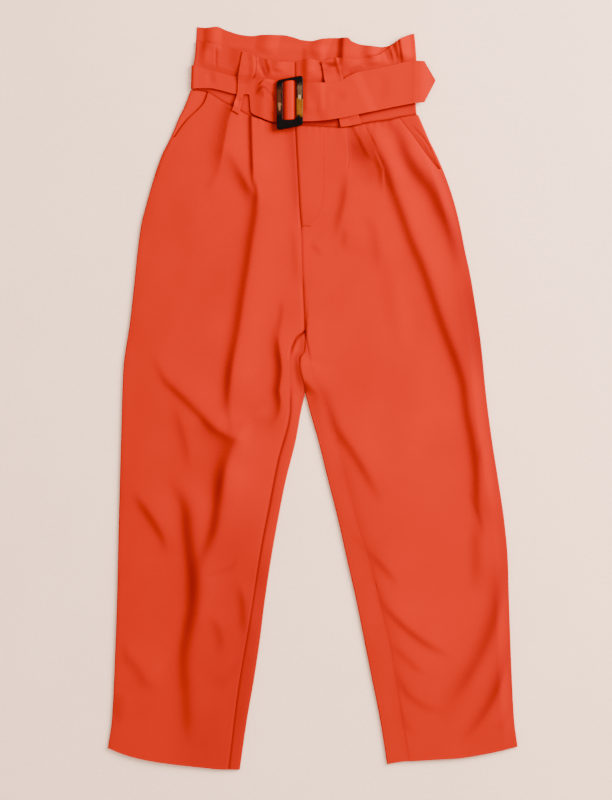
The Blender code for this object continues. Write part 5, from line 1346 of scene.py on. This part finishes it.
# ================================================================ loops and belt
def front_loop(side, name):
    """A belt loop: over the belt at the right side, over the belt's fixed end at the left."""
    belt_height = belt_front_height if side == RIGHT else fixed_belt_height
    rows = LOOP_ROWS[side]
    top = rows[0].y
    foot = rows[-1].y
    across = np.linspace(0, 1, LOOP_GRID[1])[None, :]
    y = np.linspace(top, foot, LOOP_GRID[0])[:, None] * np.ones_like(across)
    x_from = smooth_value([(row.y, row.x_from) for row in rows], y[:, :1])
    x_to = smooth_value([(row.y, row.x_to) for row in rows], y[:, :1])
    x = x_from * (1 - across) + x_to * across
    to_frill_top = smooth_value(FRONT_FRILL_TOP, x) - LOOP_BELOW_FRILL - top
    to_seam = smooth_value(WAIST_SEAM, x) - LOOP_BELOW_SEAM[side] - foot
    y = y + to_frill_top * fade(y, top - 22, top) + to_seam * fade(-y, -foot - 16, -foot)
    key_y = np.array([row.y for row in rows], float)[:, None] * np.ones((1, 3))
    key_x = np.array([(row.x_from, (row.x_from + row.x_to) / 2, row.x_to) for row in rows], float)
    on_belt = np.array([row.on_belt for row in rows], float)[:, None]
    key_z = highest_near(layer_below_loop, key_x, key_y, LOOP_REACH) + LAYER
    key_z = np.maximum(key_z, on_belt * (highest_near(belt_height, key_x, key_y, LOOP_REACH / 2) + LAYER))
    over = np.column_stack([np.interp(-y[:, 0], -key_y[:, k], key_z[:, k]) for k in range(3)])
    z = np.array([np.interp(across[0], (0, 0.5, 1), row) for row in over])
    z = z + all_relief(LOOP_FOLDS, x, y)
    # Painted shade in the loop's hollow
    return sheet(name, x, y, z, None, True, fold_tone(LOOP_FOLDS, x, y))


def back_loop():
    """The plain belt loop at the centre back."""
    y = np.linspace(*LOOP_BACK_Y[::-1], 30)[:, None] * np.ones((1, 7))
    x = CENTRE_BACK_WAIST_X + np.linspace(-1, 1, 7)[None, :] * LOOP_BACK_HALF_WIDTH * np.ones((30, 1))
    return sheet("loop_back_strip", x, y, np.zeros_like(x), None, False)


def belt_front():
    """From the pointed end over the buckle's centre bar to the right side, and round it."""
    to_buckle = np.arange(BELT_TIP_X, -16, -BELT_SPACING)
    at_buckle = np.arange(-17, -48, -BELT_SPACING / 2)
    past_buckle = np.arange(-49, -160, -BELT_SPACING)
    on_top = np.concatenate([to_buckle, at_buckle, past_buckle])
    across = np.linspace(0, 1, BELT_ROWS)[:, None]
    x = on_top[None, :] * np.ones_like(across)
    y = smooth_value(BELT_LOW, x) * (1 - across) + smooth_value(BELT_HIGH, x) * across
    z = belt_front_height(x, y)
    point = np.minimum(across / BELT_TIP_SHARE, (1 - across) / (1 - BELT_TIP_SHARE))
    tip_columns = np.linspace(1, 0, 12, endpoint=False)[None, :]
    tip_x = BELT_TIP_X + BELT_TIP_LENGTH * point * tip_columns
    tip_y = y[:, :1] * np.ones_like(tip_columns)
    tip_z = belt_front_height(tip_x, tip_y)
    edge_y = y[:, -1]
    edge_x = BELT_RIGHT_X + BELT_RIGHT_LEAN * (edge_y - BELT_RIGHT_MIDDLE_Y)
    top = band_height(edge_x + BELT_EDGE_INSET, edge_y) + LAYER
    roll = edge_roll(edge_x, RIGHT, 0, top)
    under_x = np.linspace(-156, BELT_JOIN_X, 8) * np.ones_like(across)
    under_y = smooth_value(BELT_BACK_LOW, under_x) * (1 - across)
    under_y = under_y + smooth_value(BELT_BACK_HIGH, under_x) * across
    roll_z = [points[1] * np.ones(BELT_ROWS) for points in roll]
    x = np.column_stack([tip_x, x] + [points[0] for points in roll] + [under_x])
    z = np.column_stack([tip_z, z] + roll_z + [np.zeros(under_x.shape)])
    y = np.column_stack([tip_y, y] + [edge_y] * len(roll) + [under_y])
    # Painted shade in the belt's creases, where it lies above the floor
    tone = np.where(z > WALL, fold_tone(BELT_FOLDS, x, y), 0)
    return sheet("belt_free_end", x, y, z, None, True, tone)


def belt_back():
    """Under the back, round the left side, under the free end and round the buckle's centre bar."""
    across = np.linspace(0, 1, FIXED_END_ROWS)[:, None]
    under_x = np.arange(BELT_JOIN_X + BELT_JOIN_GAP, 131, 3.0)
    low = smooth_value(BELT_BACK_LOW, under_x)
    high = smooth_value(BELT_BACK_HIGH, under_x)
    under_y = low * (1 - across) + high * across
    under_z = loop_back_lift(under_x[None, :], BELT_MIDDLE_Y * np.ones_like(under_y))
    edge_y = under_y[:, -1]
    edge_x = BELT_LEFT_X * np.ones(FIXED_END_ROWS)
    top = band_height(edge_x - BELT_EDGE_INSET, edge_y) + LAYER
    roll = edge_roll(edge_x, LEFT, 0, top)[::-1]
    on_top = np.arange(134, FIXED_END_X, -FIXED_END_SPACING)
    taper = FIXED_END_TAPER * fade(on_top, *FIXED_END_TAPER_X)
    fixed_low = smooth_value(BELT_LOW, on_top) + FIXED_END_INSET[0] + taper
    fixed_high = smooth_value(BELT_HIGH, on_top) - FIXED_END_INSET[1]
    fixed_y = fixed_low * (1 - across) + fixed_high * across
    fixed_z = fixed_belt_height(on_top[None, :], fixed_y)
    inner_radius = CENTRE_BAR_RADIUS + CURL_GAP
    curl_angle = np.radians(np.linspace(*CURL_TURN, 9))
    curl_x = CENTRE_BAR_X + inner_radius * np.cos(curl_angle)
    bar_z = CENTRE_BAR_Z - buckle_drop(fixed_y[:, -1])
    curl_z = bar_z[:, None] + inner_radius * np.sin(curl_angle)[None, :]
    each_row = np.ones_like(across)
    roll_z = [points[1] * np.ones(FIXED_END_ROWS) for points in roll]
    x = [under_x * each_row] + [points[0] for points in roll] + [on_top * each_row, curl_x * each_row]
    x = np.column_stack(x)
    z = np.column_stack([under_z] + roll_z + [fixed_z, curl_z])
    y = np.column_stack([under_y] + [edge_y] * len(roll) + [fixed_y] + [fixed_y[:, -1]] * len(curl_angle))
    return sheet("belt_fixed_end", x, y, z, None, True)


# ================================================================ buckle
def rounded_outline(outline, steps=8):
    """Points round a leaning rectangle with round corners, counter-clockwise."""
    found = []
    for sign_x, sign_y, turn in ((1, 1, 0), (-1, 1, 90), (-1, -1, 180), (1, -1, 270)):
        for step in range(steps + 1):
            angle = math.radians(turn + 90 * step / steps)
            x = sign_x * (outline.half_x - outline.corner) + outline.corner * math.cos(angle)
            y = sign_y * (outline.half_y - outline.corner) + outline.corner * math.sin(angle)
            found.append((outline.centre_x + x, outline.centre_y + y + x * math.tan(outline.lean)))
    return found


def in_fixed_order(body):
    """The same corners and faces in the order of their places, because a bevel leaves them in any order."""
    by_place = sorted(body.verts, key=lambda vert: tuple(vert.co))
    for index, vert in enumerate(by_place):
        vert.index = index
    faces = []
    for face in body.faces:
        corners = [vert.index for vert in face.verts]
        first = corners.index(min(corners))
        faces.append(corners[first:] + corners[:first])
    ordered = bmesh.new()
    verts = [ordered.verts.new(vert.co) for vert in by_place]
    for corners in sorted(faces):
        ordered.faces.new([verts[k] for k in corners])
    body.free()
    return ordered


def buckle():
    """A frame with round edges and its centre bar."""
    body = bmesh.new()
    for outline in (BUCKLE_OUTSIDE, BUCKLE_WINDOW):
        ring = []
        for x, y in rounded_outline(outline):
            ring.append(body.verts.new((x * MM, y * MM, (BUCKLE_Z - BUCKLE_DEPTH / 2) * MM)))
        for k, vert in enumerate(ring):
            body.edges.new((vert, ring[(k + 1) % len(ring)]))
    bmesh.ops.bridge_loops(body, edges=body.edges[:])
    raised = bmesh.ops.extrude_face_region(body, geom=body.faces[:])
    moved = [item for item in raised["geom"] if isinstance(item, bmesh.types.BMVert)]
    bmesh.ops.translate(body, verts=moved, vec=(0, 0, BUCKLE_DEPTH * MM))
    bmesh.ops.recalc_face_normals(body, faces=body.faces[:])
    rims = [edge for edge in body.edges if edge.calc_face_angle(0) > math.radians(60)]
    bmesh.ops.bevel(
        body, geom=rims, offset=BUCKLE_EDGE_ROUND * MM, offset_type="OFFSET", segments=5, profile=0.5,
        affect="EDGES", material=-1)
    bar = bmesh.ops.create_cone(
        body, cap_ends=True, segments=24, radius1=CENTRE_BAR_RADIUS * MM, radius2=CENTRE_BAR_RADIUS * MM,
        depth=2 * (BUCKLE_WINDOW.half_y + CENTRE_BAR_OVERLAP) * MM)
    turned = Matrix.Rotation(math.radians(90), 3, "X")
    bmesh.ops.rotate(body, cent=(0, 0, 0), matrix=turned, verts=bar["verts"])
    to_place = (CENTRE_BAR_X * MM, BUCKLE_WINDOW.centre_y * MM, CENTRE_BAR_Z * MM)
    bmesh.ops.translate(body, vec=to_place, verts=bar["verts"])
    for vert in body.verts:
        vert.co.z -= buckle_drop(vert.co.y / MM) * MM
    return made_object(in_fixed_order(body), "buckle_slider", bpy.data.materials["buckle_resin"])


# ================================================================ stitching
def stitch_line(body, route, height, length=2.3, gap=0.9, thickness=0.22):
    """Stitches along a route: short round bars, sunk half into the cloth."""
    path = curve_through(route, 24)
    travelled = np.concatenate([[0], np.cumsum(np.hypot(*np.diff(path, axis=0).T))])
    at = gap
    while at + length < travelled[-1]:
        ends = []
        for distance in (at, at + length):
            x = float(np.interp(distance, travelled, path[:, 0]))
            y = float(np.interp(distance, travelled, path[:, 1]))
            ends.append(np.array([x, y, float(height(np.array([x]), np.array([y]))[0])]))
        middle = (ends[0] + ends[1]) / 2
        along = ends[1] - ends[0]
        bar = bmesh.ops.create_icosphere(body, subdivisions=1, radius=1.0)["verts"]
        size = Matrix.Diagonal((length / 2 * MM, thickness * MM, thickness * MM))
        turn = Matrix.Rotation(math.atan2(along[1], along[0]), 3, "Z")
        tip = Matrix.Rotation(-math.atan2(along[2], math.hypot(along[0], along[1])), 3, "Y")
        bmesh.ops.transform(body, matrix=(turn @ tip @ size).to_4x4(), verts=bar)
        bmesh.ops.translate(body, vec=[value * MM for value in middle], verts=bar)
        at += length + gap


def sewing():
    """The curved topstitch of the fly and the bar tack at its foot."""
    body = bmesh.new()

    def on_left_front(x, y):
        away = np.abs(x - smooth_value(CENTRE_FRONT, y))
        depth = smooth_value(CENTRE_FRONT_DEPTH, y)
        return cloth_height(x, y) + seam_dip(away, depth) + seam_dip(smooth_value(WAIST_SEAM, x) - y)

    stitch_line(body, FLY_STITCHING, on_left_front)
    for shift in BAR_TACK_SHIFTS:
        route = [(x, y + shift) for x, y in BAR_TACK]
        stitch_line(body, route, on_left_front, length=2.6, gap=0.1, thickness=0.3)
    return made_object(body, "fly_stitching", bpy.data.materials["sewing_thread"])


# ================================================================ floor, lights and camera
def floor(settings):
    """A plain floor, 8 m square."""
    ground = bmesh.new()
    bmesh.ops.create_grid(ground, x_segments=1, y_segments=1, size=FLOOR_SIZE)
    return made_object(ground, "floor", floor_material(settings), smooth=False)


def room_haze(context, strength):
    """Even light from all round."""
    world = bpy.data.worlds.new("room")
    world.use_nodes = True
    background = world.node_tree.nodes["Background"]
    background.inputs["Color"].default_value = (1.0, 0.985, 0.97, 1.0)
    background.inputs["Strength"].default_value = strength
    context.scene.world = world


def overhead_camera(context, height, view_height):
    """A camera that looks straight down, and sees a given length of the floor."""
    data = bpy.data.cameras.new("overhead")
    data.sensor_fit = "VERTICAL"
    data.sensor_height = 24.0
    data.lens = 24.0 * height / view_height
    camera = bpy.data.objects.new("overhead", data)
    camera.matrix_world = Matrix.Translation((*CAMERA_PLACE, height))
    context.scene.collection.objects.link(camera)
    context.scene.camera = camera


def soft_light(context, lamp, power):
    """A square lamp that faces the middle of the floor."""
    data = bpy.data.lights.new(lamp.name, "AREA")
    data.shape = "SQUARE"
    data.size = lamp.size
    data.energy = power
    data.color = lamp.colour
    light = bpy.data.objects.new(lamp.name, data)
    light.location = lamp.place
    light.rotation_euler = Vector(lamp.place).to_track_quat("Z", "Y").to_euler()
    context.scene.collection.objects.link(light)


# ================================================================ settings
class TROUSERS_PG_cloth(bpy.types.PropertyGroup):
    """The cloth"""

    colour: FloatVectorProperty(
        name="Colour", description="Colour of the cloth", subtype="COLOR", size=3, min=0, max=1,
        default=(0.35, 0.0068, 0.00025))
    # Colour of the painted shade in folds, along seams and under the belt's edge
    painted_shade_colour: FloatVectorProperty(
        name="Depth colour", description="Colour in the bottom of deep folds", subtype="COLOR", size=3,
        min=0, max=1, default=(0.165, 0.0025, 0.0014))
    roughness: FloatProperty(
        name="Roughness", description="How matt the cloth is", subtype="FACTOR", min=0, max=1, default=0.78)
    sheen: FloatProperty(
        name="Sheen", description="How much the nap lights up at a low angle", subtype="FACTOR",
        min=0, max=1, default=0.12)
    weave: FloatProperty(
        name="Weave", description="Width of a thread, in millimetres", min=0.1, max=3, default=0.6)


class TROUSERS_PG_buckle(bpy.types.PropertyGroup):
    """The buckle"""

    dark: FloatVectorProperty(
        name="Dark", description="Darkest colour of the resin", subtype="COLOR", size=3, min=0, max=1,
        default=(0.0012, 0.0005, 0.0004))
    vein_contrast: FloatProperty(
        name="Veins", description="How strongly darker veins cross the clouds", subtype="FACTOR",
        min=0, max=1, default=0.7)


class TROUSERS_PG_stage(bpy.types.PropertyGroup):
    """Floor, lights and camera"""

    floor_colour: FloatVectorProperty(
        name="Floor", description="Colour of the floor", subtype="COLOR", size=3, min=0, max=1,
        default=(0.99, 0.635, 0.455))
    key_power: FloatProperty(
        name="Window light", description="Power of the main soft light", unit="POWER", min=0, default=270.0)
    fill_power: FloatProperty(
        name="Room light", description="Power of the light from the other side", unit="POWER", min=0,
        default=12.0)
    haze: FloatProperty(
        name="Haze", description="Strength of the light from all round", min=0, default=1.26)
    camera_height: FloatProperty(
        name="Camera height", description="Height of the camera over the floor", unit="LENGTH", min=0.5,
        default=3.0)
    view_height: FloatProperty(
        name="View height", description="Length of floor that the view takes in", unit="LENGTH", min=0.2,
        default=1.08)


# ================================================================ operators
class TROUSERS_OT_materials(bpy.types.Operator):
    """Makes the cloth, thread and buckle materials"""

    bl_idname = "trousers.materials"
    bl_label = "Materials"

    def execute(self, context):
        cloth_material(context.scene.trousers_cloth)
        thread_material(context.scene.trousers_cloth)
        tortoiseshell_material(context.scene.trousers_buckle)
        return {"FINISHED"}


class TROUSERS_OT_backs(bpy.types.Operator):
    """Makes the two back panels, which come round the inner legs"""

    bl_idname = "trousers.backs"
    bl_label = "Back panels"

    def execute(self, context):
        place_cloth("back_right", back_panel(RIGHT, "back_right_panel"))
        place_cloth("back_left", back_panel(LEFT, "back_left_panel"))
        return {"FINISHED"}


class TROUSERS_OT_fronts(bpy.types.Operator):
    """Makes the two front panels with their pleats and folds"""

    bl_idname = "trousers.fronts"
    bl_label = "Front panels"

    def execute(self, context):
        place_cloth("front_right", front_panel(RIGHT, "front_right_panel"))
        place_cloth("front_left", front_panel(LEFT, "front_left_panel"))
        return {"FINISHED"}


class TROUSERS_OT_pockets(bpy.types.Operator):
    """Makes the side pieces behind the pocket mouths, and the fly underlap"""

    bl_idname = "trousers.pockets"
    bl_label = "Pocket sides and fly"

    def execute(self, context):
        place_cloth("pocket_side_right", pocket_side(RIGHT, "pocket_side_right_piece"))
        place_cloth("pocket_side_left", pocket_side(LEFT, "pocket_side_left_piece"))
        place_cloth("fly_shield", fly_shield())
        return {"FINISHED"}


class TROUSERS_OT_waistband(bpy.types.Operator):
    """Makes the waistband with its frill"""

    bl_idname = "trousers.waistband"
    bl_label = "Waistband"

    def execute(self, context):
        place_cloth("waistband_back", back_band())
        place_cloth("waistband_front_right", front_band(RIGHT, "waistband_right_frill"))
        place_cloth("waistband_front_left", front_band(LEFT, "waistband_left_frill"))
        return {"FINISHED"}


class TROUSERS_OT_belt(bpy.types.Operator):
    """Makes the belt and its loops"""

    bl_idname = "trousers.belt"
    bl_label = "Belt and loops"

    def execute(self, context):
        place_cloth("belt_back", belt_back())
        place_cloth("belt_front", belt_front())
        place_cloth("loop_right", front_loop(RIGHT, "loop_right_strip"))
        place_cloth("loop_left", front_loop(LEFT, "loop_left_strip"))
        place_cloth("loop_back", back_loop())
        return {"FINISHED"}


class TROUSERS_OT_buckle(bpy.types.Operator):
    """Makes the tortoiseshell slider buckle"""

    bl_idname = "trousers.buckle"
    bl_label = "Buckle"

    def execute(self, context):
        thing = buckle()
        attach(thing, "root")
        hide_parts("buckle")
        return {"FINISHED"}


class TROUSERS_OT_sewing(bpy.types.Operator):
    """Sews the topstitching of the fly and its bar tack"""

    bl_idname = "trousers.sewing"
    bl_label = "Stitching"

    def execute(self, context):
        thing = sewing()
        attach(thing, "root")
        return {"FINISHED"}


class TROUSERS_OT_stage(bpy.types.Operator):
    """Makes the floor, the lights and the camera"""

    bl_idname = "trousers.stage"
    bl_label = "Stage"

    def execute(self, context):
        settings = context.scene.trousers_stage
        floor(settings)
        soft_light(context, WINDOW_LAMP, settings.key_power)
        soft_light(context, ROOM_LAMP, settings.fill_power)
        room_haze(context, settings.haze)
        overhead_camera(context, settings.camera_height, settings.view_height)
        return {"FINISHED"}


class TROUSERS_PT_panel(bpy.types.Panel):
    """Settings of the trousers, and a button for each group of pieces"""

    bl_label = "Paperbag trousers"
    bl_space_type = "VIEW_3D"
    bl_region_type = "UI"
    bl_category = "Trousers"

    def draw(self, context):
        scene = context.scene
        for group in (scene.trousers_cloth, scene.trousers_buckle, scene.trousers_stage):
            box = self.layout.box()
            for name in group.__annotations__:
                box.prop(group, name)
        for operator in OPERATORS:
            self.layout.operator(operator.bl_idname)


SETTINGS = (TROUSERS_PG_cloth, TROUSERS_PG_buckle, TROUSERS_PG_stage)
OPERATORS = (
    TROUSERS_OT_materials, TROUSERS_OT_backs, TROUSERS_OT_fronts, TROUSERS_OT_pockets,
    TROUSERS_OT_waistband, TROUSERS_OT_belt, TROUSERS_OT_buckle, TROUSERS_OT_sewing, TROUSERS_OT_stage,
)


def register():
    """Adds the settings, the operators and the panel to Blender."""
    for item in SETTINGS + OPERATORS + (TROUSERS_PT_panel,):
        bpy.utils.register_class(item)
    bpy.types.Scene.trousers_cloth = PointerProperty(type=TROUSERS_PG_cloth)
    bpy.types.Scene.trousers_buckle = PointerProperty(type=TROUSERS_PG_buckle)
    bpy.types.Scene.trousers_stage = PointerProperty(type=TROUSERS_PG_stage)


def unregister():
    """Takes them away again."""
    for name in ("trousers_cloth", "trousers_buckle", "trousers_stage"):
        delattr(bpy.types.Scene, name)
    for item in reversed(SETTINGS + OPERATORS + (TROUSERS_PT_panel,)):
        bpy.utils.unregister_class(item)


def main():
    """Builds every group of pieces and the stage."""
    register()
    bpy.ops.trousers.materials()
    bpy.ops.trousers.backs()
    bpy.ops.trousers.fronts()
    bpy.ops.trousers.pockets()
    bpy.ops.trousers.waistband()
    bpy.ops.trousers.belt()
    bpy.ops.trousers.buckle()
    bpy.ops.trousers.sewing()
    bpy.ops.trousers.stage()


if __name__ == "__main__":
    main()
